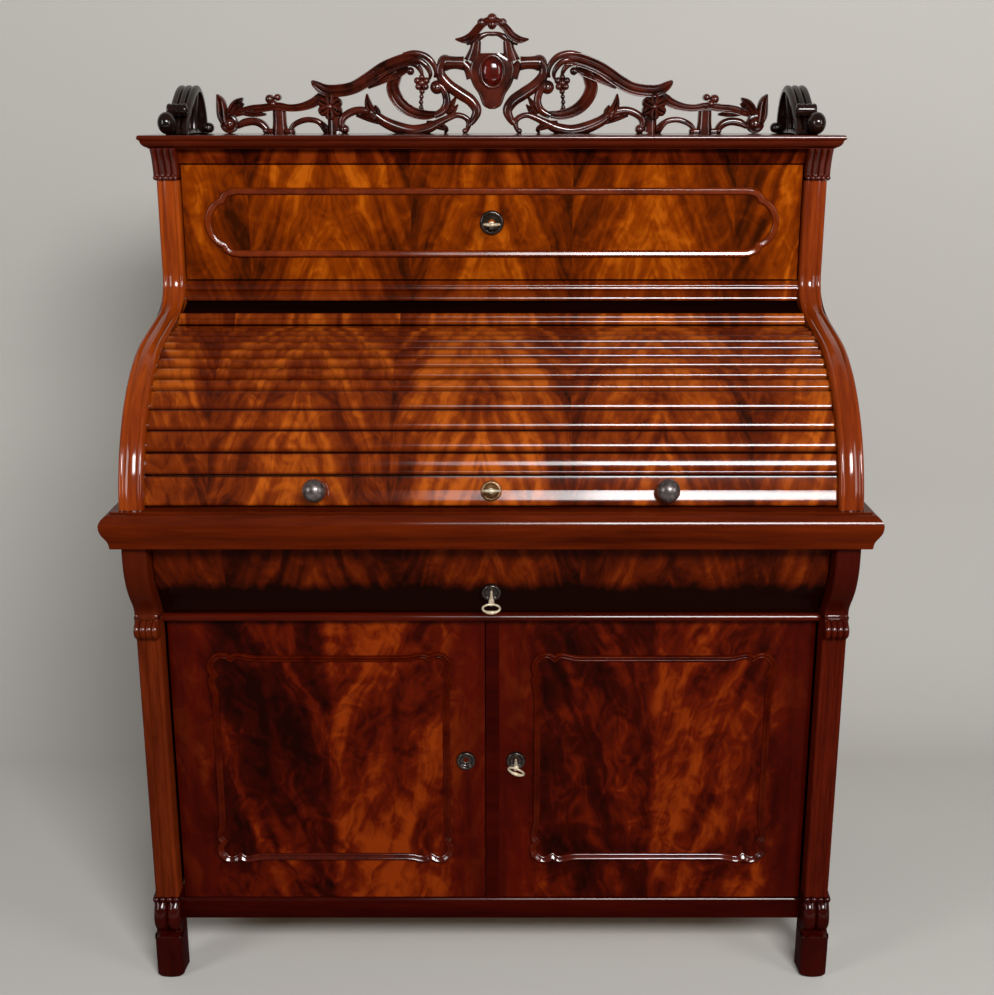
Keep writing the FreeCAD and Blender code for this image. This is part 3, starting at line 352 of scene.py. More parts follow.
def pilaster_depth(share, step):
    edge = edge_drop(share, 9)
    if step < ring_start:
        flute = max(0, 1 - (abs(abs(2 * share - 1) - 0.42) / 0.22) ** 2)
        return 2.6 * flute ** 0.7 + 2.5 * edge
    if step < ring_end:
        return lobes(share, 4, 3.6) + 1.5 * edge
    return 1.2 * (2 * share - 1) ** 2 + 3.5 * edge


post_sides = (("left", -550, -512.5), ("right", 512.5, 550))
across_posts = (40, 4, 4)
# Painted shade: the pilasters' tones are darker than the posts', and with gloom the ring and console sink
# further from 0.6 m up, both for the dimmer light under the writing top; the right pilaster is darker still.
pilaster_tones = ((60, 14, 3), (98, 34, 8)), ((48, 7, 2), (82, 19, 5))
for (side, low, high), tones in zip(post_sides, pilaster_tones):
    pilaster_mahogany = plain_wood("pilaster_mahogany_" + side, *tones, across_posts, 0.4, 0.8, 0.06,
                                   gloom=(0.6, 0.66, 0.8))
    shape = Shape()
    worked_strip(pilaster_path, [(-216, z) for y, z in pilaster_path], pilaster_depth, low, high, shape)
    new_piece("pilaster_" + side, shape, pilaster_mahogany, 50)


# Bead rail
# A half-round mahogany rail between the pilasters, over the doors and under the base drawer.
shape = Shape()
extrude_x([(-187, 634), (-187, 622)] + eased((-223, 622), [(-90, 20, 5), (20, 34, 14), (34, 90, 5.1)]),
          rail_half, shape)
bead_mahogany = plain_wood("bead_mahogany", (44, 5, 1), (74, 16, 3), along_x, 0.35, 0.5, 0.1)
new_piece("bead_rail", shape, bead_mahogany)


# Writing top
# A thick mahogany board. Its edge is worked to a fillet, a round nose and a hollow that tucks in
# to the underside, mitred round the front and both ends. A leather skin is let in behind.
def mitred_board(edge, half, front, back, shape):
    """A board in mm with a moulded edge on the front and both ends; edge lists (inset, z) downwards."""
    shape.skin([[(inset - half, back, z), (inset - half, front + inset, z), (half - inset, front + inset, z),
                 (half - inset, back, z)] for inset, z in edge])


def cut_pocket(piece, low, high, place=Matrix.Identity(4), sharp=28):
    """Takes a box between two corners in mm, carried to its place, out of a piece."""
    (x0, y0, z0), (x1, y1, z1) = low, high
    corners = (x0, y0), (x1, y0), (x1, y1), (x0, y1)
    box = Shape()
    box.skin([[place @ Vector((x, y, z)) for x, y in corners] for z in (z0, z1)])
    tool = put("chisel", box.mesh("chisel"))
    change = piece.modifiers.new("pocket", "BOOLEAN")
    change.operation, change.solver, change.object = "DIFFERENCE", "EXACT", tool
    piece.data = bpy.data.meshes.new_from_object(piece.evaluated_get(bpy.context.evaluated_depsgraph_get()))
    piece.modifiers.clear()
    bpy.data.objects.remove(tool)
    piece.data.set_sharp_from_angle(angle=radians(sharp))


slab_edge = [(20, 822), (15, 822), (14.8, 821.8), (14.8, 820.2)]
slab_edge += eased((14.1, 819.8), [(75, 34, 19.5), (34, 16, 19), (16, 0, 10)])
slab_edge += [
    (0.3, 798.6), (1.2, 794.4), (2.7, 790.2), (4.6, 786.4), (6.6, 783), (8.4, 779.8), (9.8, 776.4), (10.6, 773),
    (11, 769.6), (11.4, 767), (12.2, 766)]
shape = Shape()
mitred_board(slab_edge, 574, -320, 320, shape)
top_mahogany = plain_wood("top_mahogany", (52, 10, 1), (88, 27, 4), (2, 26, 26), 0.4, 0.5, 0.03)
writing_top = new_piece("writing_top", shape, top_mahogany, 28)
leather_recess = (-360, -242, 820.8), (360, -51.85, 824)
curtain_slot = (-535, 243, 760), (535, 268, 830)
drawer_bolt_mortise = (-7.5, -216, 760), (7.5, -208, 780)
curtain_bolt_mortise = (-7.5, -268.5, 812), (7.5, -259.5, 830)
for low, high in (leather_recess, curtain_slot, drawer_bolt_mortise, curtain_bolt_mortise):
    cut_pocket(writing_top, low, high)
leather, hide = new_finish("green_leather", 0.5)
hide_wear = hide.place().noise(9, 4, 0.6)
hide_wear.colours([(0.35, (38, 56, 33)), (0.7, (70, 90, 54))]).feed("Base Color")
hide_grain = hide.node("TexVoronoi", {0: hide.place(), 2: 700})
hide.node("Bump", {"Strength": 0.25, "Distance": 0.001, "Height": hide_grain}).feed("Normal")
paint("writing_leather", leather)


# Doors
# Flat panels faced with flame veneer from the crotch of the tree, two mirrored leaves to a door, the left leaf
# darkened with painted shade.
# A planted moulding with a carved lobe at each corner frames the middle of each panel.
leaf_lost = 0.008


def flame_veneer(name, tones, period=0.27, shift=0, lean=2.6, lift=0, gloom=0.26, lick=1.3, top=0.14,
                 side=0.05, wrap=None):
    """Veneer of mirrored leaves. A bright plume stands at shift and every period on, with dark figure
    half way between; the flames lean outwards as they fall. wrap, an axis (y, z), a radius, and where
    strips start and how wide they are, lays the leaf round strips that lose a little at each joint."""
    material, finish = new_finish(name, 0.4, 0, 0.1)
    polish(finish, top, side)
    x, y, z = finish.place().parts()
    rise = z
    if wrap:
        turn_y, turn_z, radius, strip_start, strip_width = wrap
        rise = finish.math("ARCTAN2", z - turn_z, turn_y - y) * radius
        strip = finish.math("FLOOR", finish.math("MAXIMUM", (rise - strip_start) * (1 / strip_width), 0))
        z = rise + strip * leaf_lost
    row = (x - shift) * (1 / period)
    number = finish.math("FLOOR", row + 0.5)
    half = row - number
    fold = finish.math("ABSOLUTE", half) * 2

    def figure(across, leaf, up, detail, rough, twist=0):
        return finish.join(across, leaf, up).noise(1, detail, rough, twist) - 0.5

    swirl = figure(fold * 1.6, number * 3.1, z * 7, 2, 0.5, 0.5)
    flame = fold + z * lean + swirl * 0.42
    plume = figure(flame * 3.6, number * 2.3, z * 5, 1, 0.4, 0.6)
    stroke = figure(flame * 10, number * 1.7, z * 5 + fold * 2, 2, 0.5, 0.3)
    silk = figure(flame * 48, number, z * 16 - fold * 9, 3, 0.6)
    mottle = figure(x * 26, number, z * 20, 2.5, 0.55, 1.7)
    valley = (fold + swirl * 0.5).ramp(0.3, 1)
    tone = 0.56 + (plume * 0.75 + stroke * 0.62 + mottle * 0.6) * lick + silk * 0.24 - valley * gloom + lift
    stops = list(zip((0.12, 0.38, 0.62, 0.86), tones))
    tone.colours(stops).feed("Base Color")
    return material, tone, stops, x, rise, half


door_tones = ((22, 2, 0), (46, 5, 1), (78, 16, 2), (116, 40, 5))
door_middle, stile_reach = 0.2605, 0.165
door_flame, tone, stops, x, z, leaf = flame_veneer("door_flame", door_tones, 2 * door_middle, door_middle, -1.2,
                                                   lift=0.04, gloom=0.1, lick=1.25)
away = tone.math("ABSOLUTE", tone.math("ABSOLUTE", x) - door_middle)
stile = (away - stile_reach).ramp(0, 0.06)
# Painted shade: the left leaf of each door is darkened, as light falling on its mirrored grain leaves it
# dimmer; the stiles are spared.
tone = tone - (leaf * -60).ramp(-1, 1) * (0.3 * (1 - stile)) - x.ramp(0.25, 0.3) * 0.09 + 0.08
red = tone.join(x * 30, 0, z * 2.4).noise(1, 5, 0.6, 0.3).colours([(0.3, (38, 3, 1)), (0.7, (72, 9, 2))])
tone.blend(stile * 0.8, tone.colours(stops), red).feed("Base Color")
paint("left_door_panel", door_flame)
paint("right_door_panel", door_flame)


def framing_bead(outline, section, face, shape):
    """A moulding in mm round an (x, z) outline that runs clockwise seen from the front; section lists
    (across, proud) from its inner to its outer edge, and face is the board's y."""
    rings = []
    for i, (x, z) in enumerate(outline):
        before = (Vector((x, z)) - Vector(outline[i - 1])).normalized()
        after = (Vector(outline[(i + 1) % len(outline)]) - Vector((x, z))).normalized()
        along = (before + after).normalized()
        out = Vector((-along.y, along.x)) * min(1.45, 1 / max(0.2, along.dot(after)))
        rings.append([(x + out.x * across, face - proud, z + out.y * across) for across, proud in section])
    shape.skin(rings, loop=True)


corner = [
    (67, 0), (56, 1), (47, 3.4), (38, 5), (32, 3.6), (27, -0.6), (20, 4.4), (13, 5.8), (5, 4.2), (0.6, -0.6)]
corner += [(-z, -x) for x, z in reversed(corner[:-1])]
bead_section = [
    (-5.5, -0.5), (-5.5, 0.7), (-5.1, 1.6), (-3.4, 2.8), (-2.6, 3), (-2, 2.6), (-1.6, 2.4), (-1.2, 2.8),
    (1.6, 5), (2.6, 5.8), (3.4, 6), (4.4, 5.4), (5.2, 3.6), (5.5, 1.2), (5.5, -0.5)]
burr = (14, 14, 14)
door_bead = plain_wood("door_bead", (42, 4, 1), (76, 18, 3), burr, 0.35, 0.95, 0.06, fade=(0.3, 0.5))
door_face, low, high = -209, 203.5, 553
for side, left, right in (("left", -441, -73), ("right", 73, 441)):
    outline = [(left + x, high + z) for x, z in reversed(corner)] + [(right - x, high + z) for x, z in corner]
    outline += [(right - x, low - z) for x, z in reversed(corner)] + [(left + x, low - z) for x, z in corner]
    shape = Shape()
    framing_bead(outline, bead_section, door_face, shape)
    new_piece(side + "_door_moulding", shape, door_bead, 60, body=side + "_door")
paint("meeting_strip", rail_mahogany)


# Base drawer front
# A thick front shaped to an ogee, full above and hollow below, faced with the same flame veneer, its hollow
# darkened with painted shade.
ogee = smooth_line([
    (-266, 761), (-266, 740), (-264.6, 723.7), (-261, 708.4), (-255.4, 694.8), (-248.6, 682.7), (-241, 671.5),
    (-234, 661), (-228, 650.9), (-223.6, 642.5), (-221, 636.5)], 3)
shape = Shape()
extrude_x([(-205, 636.5), (-205, 761)] + ogee, 510, shape)
deep_flame = ((20, 3, 0), (48, 9, 1), (76, 20, 2), (106, 38, 5))
painted_shade_top, painted_shade_fade = 0.702, 0.034
base_flame, tone, stops, _, z, _ = flame_veneer("base_flame", deep_flame, lift=0.04, gloom=0.22, lick=1.1)
# Painted shade: the veneer sinks towards its darkest tone below 0.702 m, on the lower hollow of the ogee.
(tone - (painted_shade_top - z).ramp(0, painted_shade_fade) * 0.7).colours(stops).feed("Base Color")
base_front = new_piece("base_drawer_front", shape, base_flame, body="base_drawer")
bolt_slot = (-6.4, -214.9, 735), (6.4, -209.1, 770)
cut_pocket(base_front, *bolt_slot, sharp=35)


# Scroll posts
# S-shaped mahogany posts that cover the ends of the slats, sawn from one plank and worked to
# three shallow reeds. They stand on the writing top and are screwed to the upper sides.
axis_y, axis_z = -11.847, 775
lip_radius = 276.4
sweep_radius, sweep_y, sweep_z = 266, -32.45, 786
shaft_front, shaft_back, hollow_radius = 68.15, 93.15, 60
sweep_start, sweep_end = asin(36 / sweep_radius), radians(78)


def on_track(radius, angle):
    """A point (y, z) in mm on a circle round the curtain's axis."""
    return axis_y - radius * cos(angle), axis_z + radius * sin(angle)


post_path, post_backs = [], []
for step in range(31):
    angle = sweep_start + (sweep_end - sweep_start) * step / 30
    y, z = sweep_y - sweep_radius * cos(angle), sweep_z + sweep_radius * sin(angle)
    post_path.append((y, z))
    post_backs.append(on_track(lip_radius, atan2(z - axis_z, axis_y - y)))
end_y, end_z = post_path[-1]
corner_z = end_z + (shaft_front - end_y) * tan(pi / 2 - sweep_end)
hollow_y, hollow_z = shaft_front - hollow_radius, corner_z + hollow_radius * tan(sweep_end / 2)
lip_start = atan2(end_z - axis_z, axis_y - end_y)
lip_end = pi - acos((shaft_back - axis_y) / lip_radius)
for step in range(17):
    angle = sweep_end * (1 - step / 16)
    post_path.append((hollow_y + hollow_radius * cos(angle), hollow_z - hollow_radius * sin(angle)))
    post_backs.append(on_track(lip_radius, lip_start + (lip_end - lip_start) * (step + 1) / 17))
for z in (1150, 1279):
    post_path.append((shaft_front, z))
    post_backs.append((shaft_back, z))


def post_depth(share, step):
    place = abs(2 * share - 1)
    reed = 2.6 * (place / 0.5) ** 2 if place < 0.5 else 2.6 * ((place - 0.75) / 0.25) ** 2
    return reed + 4 * edge_drop(share, 7)


post_tones = ((98, 31, 4), (148, 62, 11)), ((86, 25, 3), (130, 50, 9))
for (side, low, high), tones in zip(post_sides, post_tones):
    post_mahogany = plain_wood("post_mahogany_" + side, *tones, across_posts, 0.35, 0.8, 0.6)
    shape = Shape()
    worked_strip(post_path, post_backs, post_depth, low, high, shape, 40)
    new_piece("scroll_post_" + side, shape, post_mahogany, 50)


# Curtain slats
# Mahogany strips glued to canvas, rounded under at the lower edge, so that the curtain bends round
# its track. The lock rail at the bottom is a wider strip. All are faced with one run of veneer, with painted
# shade on the lower part of each slat and beside each joint.
curtain_radius, slat_thick, slat_end = 275, 12, 534
wide_slat, narrow_slat, slat_gap = 35, 25.5, 1.4


def slat_section(low, high, face):
    """Outline of a strip between two angles; face lists (share of its width, depth in mm)."""
    return [on_track(curtain_radius - depth, low + (high - low) * share) for share, depth in face]


slat_back = [(1, slat_thick), (0, slat_thick)]
first_face = [
    (0, 6), (0.015, 3.6), (0.04, 2), (0.07, 1.1), (0.1, 0.66), (0.135, 0.52), (0.17, 0.66), (0.205, 1),
    (0.23, 1.35), (0.26, 0.9), (0.32, 0.5), (0.4, 0.18), (0.5, 0), (0.64, 0.1), (0.76, 0.4), (0.86, 0.9),
    (0.94, 1.6), (0.98, 2.4), (1, 3.8)]
wide_face = [
    (0, 6), (0.015, 4.4), (0.035, 3.4), (0.07, 2.6), (0.12, 1.75), (0.18, 1), (0.24, 0.45), (0.3, 0.12),
    (0.38, 0), (0.5, 0), (0.64, 0.2), (0.76, 0.6), (0.86, 1.1), (0.94, 1.7), (0.98, 2.4), (1, 3.8)]
narrow_face = [(k / 20, 7 * ((9 - k) / 9) ** 2.6 if k < 9 else 5.6 * ((k - 9) / 11) ** 2) for k in range(21)]
top_face = [(0.4 - 0.4 * cos(radians(6 * k)), 9 - 9 * sin(radians(6 * k))) for k in range(16)]
top_face += [(0.4 + 0.06 * k, 5.6 * (k / 10) ** 2) for k in range(1, 11)]
slat_faces = [first_face] + [wide_face] * 3 + [narrow_face] * 3 + [top_face] * 8
rail_face = [
    (0, 3.6), (0.02, 2.2), (0.06, 1), (0.11, 0.4), (0.2, 0.2), (0.4, 0.1), (0.6, 0), (0.9, 0), (0.975, 0),
    (0.985, 0.02), (0.992, 0.35), (1, 1.2), (1, 3.2)]
flare_face = [
    (0, 2.4), (0.012, 0.4), (0.035, -1.2), (0.065, -2.1), (0.1, -2.4), (0.14, -2.3), (0.22, -1.75), (0.3, -1.2),
    (0.38, -0.7), (0.45, -0.3), (0.52, 0)]
warm_flame = ((34, 9, 2), (74, 21, 2), (108, 40, 4), (152, 70, 12))
rail_foot, rail_width = 48, 45
rail_low = asin(rail_foot / (curtain_radius - slat_thick))
rail_high = rail_low + rail_width / curtain_radius
wide_start = rail_high * curtain_radius / 1000
narrow_start = wide_start + 4 * wide_slat / 1000
curtain_flame, tone, stops, _, arc, _ = flame_veneer(
    "curtain_flame", warm_flame, shift=-0.015, lift=0.05, gloom=0.2, lick=1.15, top=0.62, side=0.1,
    wrap=(axis_y / 1000, axis_z / 1000, curtain_radius / 1000, narrow_start, narrow_slat / 1000))
wide_share = tone.math("FRACT", (arc - wide_start) * (1000 / wide_slat))
narrow_share = tone.math("FRACT", (arc - narrow_start) * (1000 / narrow_slat))
narrow_part = (arc - narrow_start).ramp(-0.0001, 0.0001)
share = wide_share + (narrow_share - wide_share) * narrow_part
slatted = (arc - (wide_start - 0.003)).ramp(0, 0.0005)
# Painted shade: each slat darkens towards its lower edge, and darker still near the joints between slats.
underside_shade = (1 - share.ramp(0.04, narrow_part * 0.16 + 0.26)) * slatted
joint_shade = (share.ramp(0.88, 0.98) + 1 - share.ramp(0.02, 0.09)) * slatted
figure = (tone + narrow_part * 0.1).colours(stops)
shadow = tone.blend(underside_shade * 0.7, figure, srgb(60, 13, 3))
tone.blend(joint_shade * 0.85, shadow, srgb(22, 5, 2)).feed("Base Color")
shape = Shape()
angle = rail_high
for width, face in zip([wide_slat] * 4 + [narrow_slat] * 11, slat_faces):
    turn = width / curtain_radius
    extrude_x(slat_section(angle + slat_gap / curtain_radius, angle + turn, slat_back + face), slat_end, shape)
    angle += turn
new_piece("curtain_slats", shape, curtain_flame, body="curtain")
shape = Shape()
extrude_x(slat_section(rail_low, rail_high, slat_back + rail_face), slat_end, shape)
flare_end, flare_back = 510, 4
flare_face += [(0.52, flare_back), (0, flare_back)]
extrude_x(slat_section(rail_low, rail_high, flare_face), flare_end, shape)
new_piece("curtain_lock_rail", shape, curtain_flame, body="curtain")
canvas, weave = new_finish("linen_canvas", 0.9)
threads = weave.node("TexWave", {0: weave.place(), 1: 260, 2: 2}, 1)
threads.colours([(0.2, (140, 120, 86)), (0.8, (184, 164, 128))]).feed("Base Color")
paint("curtain_canvas", canvas)


# Upper rail and apron
# The rail under the upper drawer, with two beads along its face, and behind it a fixed apron
# of strips like the slats, which closes the opening above the curtain.
rail_profile = [(94, 1115), (94, 1082), (74, 1082)]
rail_profile += eased((71.6, 1082.4), [(-50, 8, 3), (8, 26, 12), (26, 80, 3)])
rail_profile += [(74.6, 1091.4), (74.6, 1098.2)]
rail_profile += eased((73.6, 1098.6), [(-60, 8, 3.2), (8, 26, 12), (26, 80, 3)])
rail_profile += [(75.6, 1108), (75.6, 1115)]
rail_flame = flame_veneer("rail_flame", warm_flame, lift=-0.04, gloom=0.2, lick=0.8, top=0.9, side=0.06)[0]
shape = Shape()
extrude_x(rail_profile, rail_half, shape)
new_piece("upper_rail", shape, rail_flame)
shape = Shape()
apron_marks = [(5, 1052.6), (13, 1060.5), (24, 1067.5)]
for (y0, z0), (y1, z1) in zip(apron_marks, apron_marks[1:]):
    out_y, out_z = square_to([(y0, z0), (y1, z1)], 0)
    bulges = [4 * sin(pi * k / 12) ** 0.7 for k in range(13)]
    crown = [(y0 + (y1 - y0) * k / 12 + out_y * bulge, z0 + (z1 - z0) * k / 12 + out_z * bulge)
             for k, bulge in enumerate(bulges)]
    extrude_x([(y1 + 2, z1 - 6), (y0 + 2, z0 - 0.6)] + crown, rail_half, shape)
new_piece("upper_rail", shape, curtain_flame, name="apron_worked")
# A near-black board behind the apron, painted shade that keeps the gap under the rail dark.
shadow_wood = plain_wood("shadow_wood", (10, 2, 1), (22, 5, 2), along_x, 0.6, 0, 0)
shape = Shape()
extrude_x([(84, 1082), (24, 1061.5), (24, 1059), (90, 1059), (90, 1082)], rail_half, shape)
new_piece("upper_rail", shape, shadow_wood, name="apron_back_worked")


# Upper drawer
# A flat front faced with bright flame veneer. A planted moulding of cartouche shape, with a round
# lobe at each end, frames the keyhole.
bright_flame = ((46, 14, 2), (84, 28, 2), (116, 45, 2), (156, 74, 8))
upper_flame = flame_veneer("upper_flame", bright_flame, period=0.268, lift=0.06, gloom=0.34, lick=1.1)[0]
paint("upper_drawer_front", upper_flame)
drawer_face, frame_z, lobe_x, cusp_x, cusp_z = 78.15, 1210.5, 470, 444, 37
lobe_sag = lobe_x - cusp_x
lobe_radius = (cusp_z ** 2 + lobe_sag ** 2) / (2 * lobe_sag)
lobe_turn = asin(cusp_z / lobe_radius)
shoulder = [(418, 51), (428, 50.2), (436, 47.4), (441.6, 43), (cusp_x, cusp_z)]
right_end = shoulder[:]
for step in range(1, 14):
    bend = lobe_turn * (1 - step / 7)
    right_end.append((lobe_x - lobe_radius + lobe_radius * cos(bend), lobe_radius * sin(bend)))
right_end += [(x, -z) for x, z in reversed(shoulder)]
cartouche = [(x, frame_z + z) for x, z in right_end] + [(-x, frame_z - z) for x, z in right_end]
shape = Shape()
cartouche_section = [
    (-5.9, -0.5), (-5.9, 0.9), (-5.5, 2.2), (-4.7, 3.4), (-3.9, 4.1), (-3.2, 4.5), (-2.9, 4.62), (0.8, 5.64),
    (1.2, 5.74), (2, 5.9), (2.8, 5.8), (3.8, 5.2), (4.8, 3.8), (5.5, 2), (5.9, 0.8), (5.9, -0.5)]
framing_bead(cartouche, cartouche_section, drawer_face, shape)
upper_bead = plain_wood("upper_bead", (70, 18, 3), (112, 42, 8), burr, 0.35, 0.95, 0.3)
new_piece("upper_drawer_moulding", shape, upper_bead, 60, body="upper_drawer")


# Frieze, capitals and cornice
# A narrow veneered rail over the drawer, a reeded capital on each post with a ring of beads at
# its foot, and a thin cornice board with a round nose, mitred at the corners.
frieze_flame = flame_veneer("frieze_flame", deep_flame, lift=0.06)[0]
paint("frieze_rail", frieze_flame)
bead_ring = smooth_line([(66, 1279), (63, 1280.4), (61.6, 1283), (62.6, 1285.8), (65, 1287.4)], 3)
capital_path = bead_ring + smooth_line([
    (66.2, 1288.6), (65.4, 1292), (63.6, 1300), (60.4, 1310), (56, 1319), (52, 1325), (50, 1329)], 3)
capital_path += [(50, 1330)]


def capital_depth(share, step):
    reeds = lobes(share, 5, 4) if step < len(bead_ring) else lobes(share, 4, 4.2)
    return reeds + 1.5 * edge_drop(share, 8)


shape = Shape()
for low, high in ((-554, -512.5), (512.5, 554)):
    worked_strip(capital_path, [(93, z) for y, z in capital_path], capital_depth, low, high, shape)
capital_wood = plain_wood("capital_wood", (36, 7, 3), (82, 22, 9), across_posts, 0.35, 1, 0.7)
new_piece("capitals", shape, capital_wood, 50)
cornice_edge = [(8, 1351)] + eased((3.6, 1351), [(90, 22, 3), (22, 4, 9), (4, -60, 3)])
cornice_edge += [
    (3.8, 1342.6), (3.8, 1341.4), (4.8, 1338.4), (6.6, 1335.6), (9, 1333.4), (12, 1331.9), (14, 1331.4),
    (14, 1330)]
shape = Shape()
mitred_board(cornice_edge, 572, 46, 320, shape)
cornice_mahogany = plain_wood("cornice_mahogany", (48, 9, 3), (80, 24, 6), along_x, 0.35, 0.95, 0.08)
new_piece("cornice", shape, cornice_mahogany, 28)


# Crest
# A pierced plank along the back of the top, carved from the front into moulded bars, round scrolls,
# leaves and berries, with a hooded shield and a polished red stone in the middle.
crest_foot, crest_back = 1351, 291


def moulded_face(s, half):
    return 0.2 * half * (1 - cos(2.2 * pi * s))


def round_face(s, half):
    return 0.85 * half * (1 - sqrt(max(0, 1 - s * s)))


def leaf_face(s, half):
    return 0.7 * half * (1 - sin(pi * abs(s) ** 0.8))


def carved_band(marks, thick, face, shape, flip=1, fullness=1.25):
    """A carved bar of the crest along (x, z, width) marks; face(share, half width)
    sinks its front from edge to edge."""
    line = smooth_line(marks, 4)
    shares = [sin(pi * (k / 14 - 0.5)) for k in range(15)]
    rings = []
    for i, (x, z, width) in enumerate(line):
        half = max(width * fullness, 0.8) / 2
        side_x, side_z = (v * half for v in square_to(line, i))
        front = crest_back - thick * min(1, 0.5 + width / 16)
        ring = [(s, front + face(s, half)) for s in shares] + [(1, crest_back), (-1, crest_back)]
        rings.append([(flip * (x + side_x * s), y, crest_foot + z + side_z * s) for s, y in ring])
    shape.skin(rings)


def turned(profile, place, shape, segments=40):
    """Turns a profile of (radius, height in mm) round an axis; place carries it to the piece."""
    bends = [tau * k / segments for k in range(segments)]
    shape.skin([[place @ Vector((radius * cos(bend), -height, radius * sin(bend))) for bend in bends]
                for radius, height in profile])


def hoop(wide, tall, wire, place, shape, around, across):
    """A round wire bent to an upright oval of half sizes wide and tall; wire(bend) is its radius."""
    rings = []
    spins = [tau * k / across for k in range(across)]
    for bend in (tau * k / around for k in range(around)):
        sides = [(wire(bend) * cos(spin), -wire(bend) * sin(spin)) for spin in spins]
        rings.append([place @ Vector(((wide + out) * cos(bend), y, (tall + out) * sin(bend)))
                      for out, y in sides])
    shape.skin(rings, loop=True)


def seat(x, y, z, tilt=0):
    """Carries a shape made at the origin, facing the front, to its place."""
    return Matrix.Translation((x, y, z)) @ Matrix.Rotation(radians(tilt), 4, "X")


def berry(radius, tall):
    """Profile of a round berry that stands on the back of the plank."""
    return [(0, 0), (radius, 0), (radius, tall - radius)] + [
        (radius * cos(radians(a)), tall - radius + radius * sin(radians(a))) for a in range(15, 91, 15)]


moulded_bars = [
    (22, (316, 89, 3), (308, 82, 11), (292, 73, 16), (269, 72, 17), (243, 77, 17), (217, 91, 18),
     (191, 108, 18), (168, 118, 18), (147, 124, 18), (129, 125, 15)),
    (20, (64, 158, 2), (48, 157, 10), (35, 163, 12), (24, 176, 11), (12, 186, 10), (-1, 190, 11)),
    (18, (275, 64, 10), (298, 62, 13), (314, 52, 13), (334, 45, 11), (356, 43, 10), (378, 46, 11),
     (402, 43, 11), (423, 41, 11), (441, 36, 10), (454, 30, 5)),
    (20, (218, 78, 6), (200, 88, 12), (180, 97, 14), (160, 105, 14), (146, 111, 9)),
    (20, (163, 102, 12), (170, 91, 16), (174, 77, 18), (168, 60, 18), (155, 45, 17), (137, 35, 15),
     (116, 31, 13), (97, 33, 8)),
]
round_scrolls = [
    (22, (155, 132, 6), (136, 135, 8), (116, 130, 9), (103, 118, 8), (98, 104, 6), (101, 94, 3)),
    (22, (146, 123, 6), (128, 123, 8), (115, 114, 8), (108, 101, 6), (110, 91, 3)),
    (20, (146, 118, 6), (134, 116, 8), (126, 108, 7), (122, 97, 4), (123, 92, 2)),
    (16, (376, 47, 18), (376, 30, 19), (376, 15, 20), (376, 3, 24), (376, 0, 27)),
    (18, (387, 3, 8), (396, 3, 9), (405, 5, 5)),
    (18, (365, 3, 8), (355, 3, 8), (349, 4, 4)),
    (16, (451, 11, 7), (438, 18, 11), (421, 20, 11), (407, 15, 11), (396, 2, 8)),
    (14, (360, 0, 6), (352, 13, 7), (337, 21, 8), (321, 23, 8), (305, 18, 8), (294, 0, 6)),
    (16, (278, 33, 22), (278, 18, 21), (278, 4, 22), (277, 0, 29)),
    (20, (255, 7, 6), (265, 13, 8), (263, 26, 10), (248, 36, 11), (230, 39, 11), (210, 33, 13), (191, 20, 15),
     (165, 9, 17), (139, 4, 17), (113, 9, 15), (94, 18, 11), (77, 26, 9), (61, 31, 8), (46, 26, 8), (41, 16, 8),
     (46, 2, 5)),
    (12, (122, 96, 4), (123, 82, 4), (124, 66, 4), (125, 50, 4), (121, 36, 5), (108, 30, 6)),
    (20, (102, 83, 6), (90, 80, 10), (82, 67, 11), (80, 52, 11), (87, 38, 11), (102, 30, 9)),
    (24, (81, 119, 20), (64, 119, 17), (50, 118, 19)),
    (22, (85, 123, 10), (91, 109, 13), (88, 95, 15), (74, 80, 16), (55, 67, 17), (37, 55, 16), (27, 39, 14),
     (32, 25, 11), (39, 16, 8)),
    (14, (50, 118, 13), (41, 108, 14), (37, 92, 13)),
    (16, (27, 156, 13), (30, 139, 17), (35, 121, 24)),
    (14, (45, 151, 5), (30, 156, 8), (19, 163, 8), (9, 167, 6), (-1, 167, 6)),
]
leaves = [
    (18, (460, 33, 3), (444, 36, 8), (421, 33, 9), (399, 32, 3)),
    (20, (473, 18, 10), (476, 30, 15), (477, 46, 14), (479, 57, 10), (484, 66, 2)),
    (20, (464, 33, 8), (455, 46, 11), (447, 53, 10), (439, 60, 2)),
    (18, (459, 33, 6), (447, 43, 8), (438, 51, 2)),
    (18, (292, 0, 4), (296, 10, 9), (303, 21, 3)),
    (18, (240, 30, 3), (220, 26, 9), (201, 20, 8), (188, 15, 2)),
    (22, (206, 24, 8), (212, 36, 12), (218, 50, 10), (220, 67, 2)),
    (20, (199, 26, 6), (203, 38, 9), (206, 48, 2)),
    (20, (81, 33, 5), (73, 46, 9), (62, 64, 2)),
    (18, (77, 29, 5), (68, 39, 8), (60, 49, 2)),
    (20, (116, 18, 6), (97, 14, 11), (81, 7, 7), (84, 0, 3)),
]
rosette_x, rosette_z = 285, 45
for petal in range(6):
    bend = radians(60 * petal + 30)
    leaves.append((24, *((rosette_x + reach * cos(bend), rosette_z + reach * sin(bend), width)
                         for reach, width in ((3, 6), (9, 12), (15, 15), (20, 11), (23, 3)))))
berries = [
    (391, 58, 8), (377, 61, 6), (385, 50, 6), (261, 7, 8), (143, 105, 7), (123, 95, 5), (131, 89, 6),
    (115, 89, 6), (123, 85, 7), (129, 79, 6), (117, 79, 6), (123, 71, 5), (124, 62, 4), (125, 53, 4),
    (125, 44, 4), (97, 78, 12), (82, 119, 14), (48, 4, 5), (18, 185, 8), (400, 4, 5)]
boss = [
    (0, 0), (16, 0), (16, 12), (15, 14.5), (13, 15), (11.5, 13), (10.5, 12.5), (9.5, 14), (7, 17), (3, 18.5),
    (0, 18.8)]
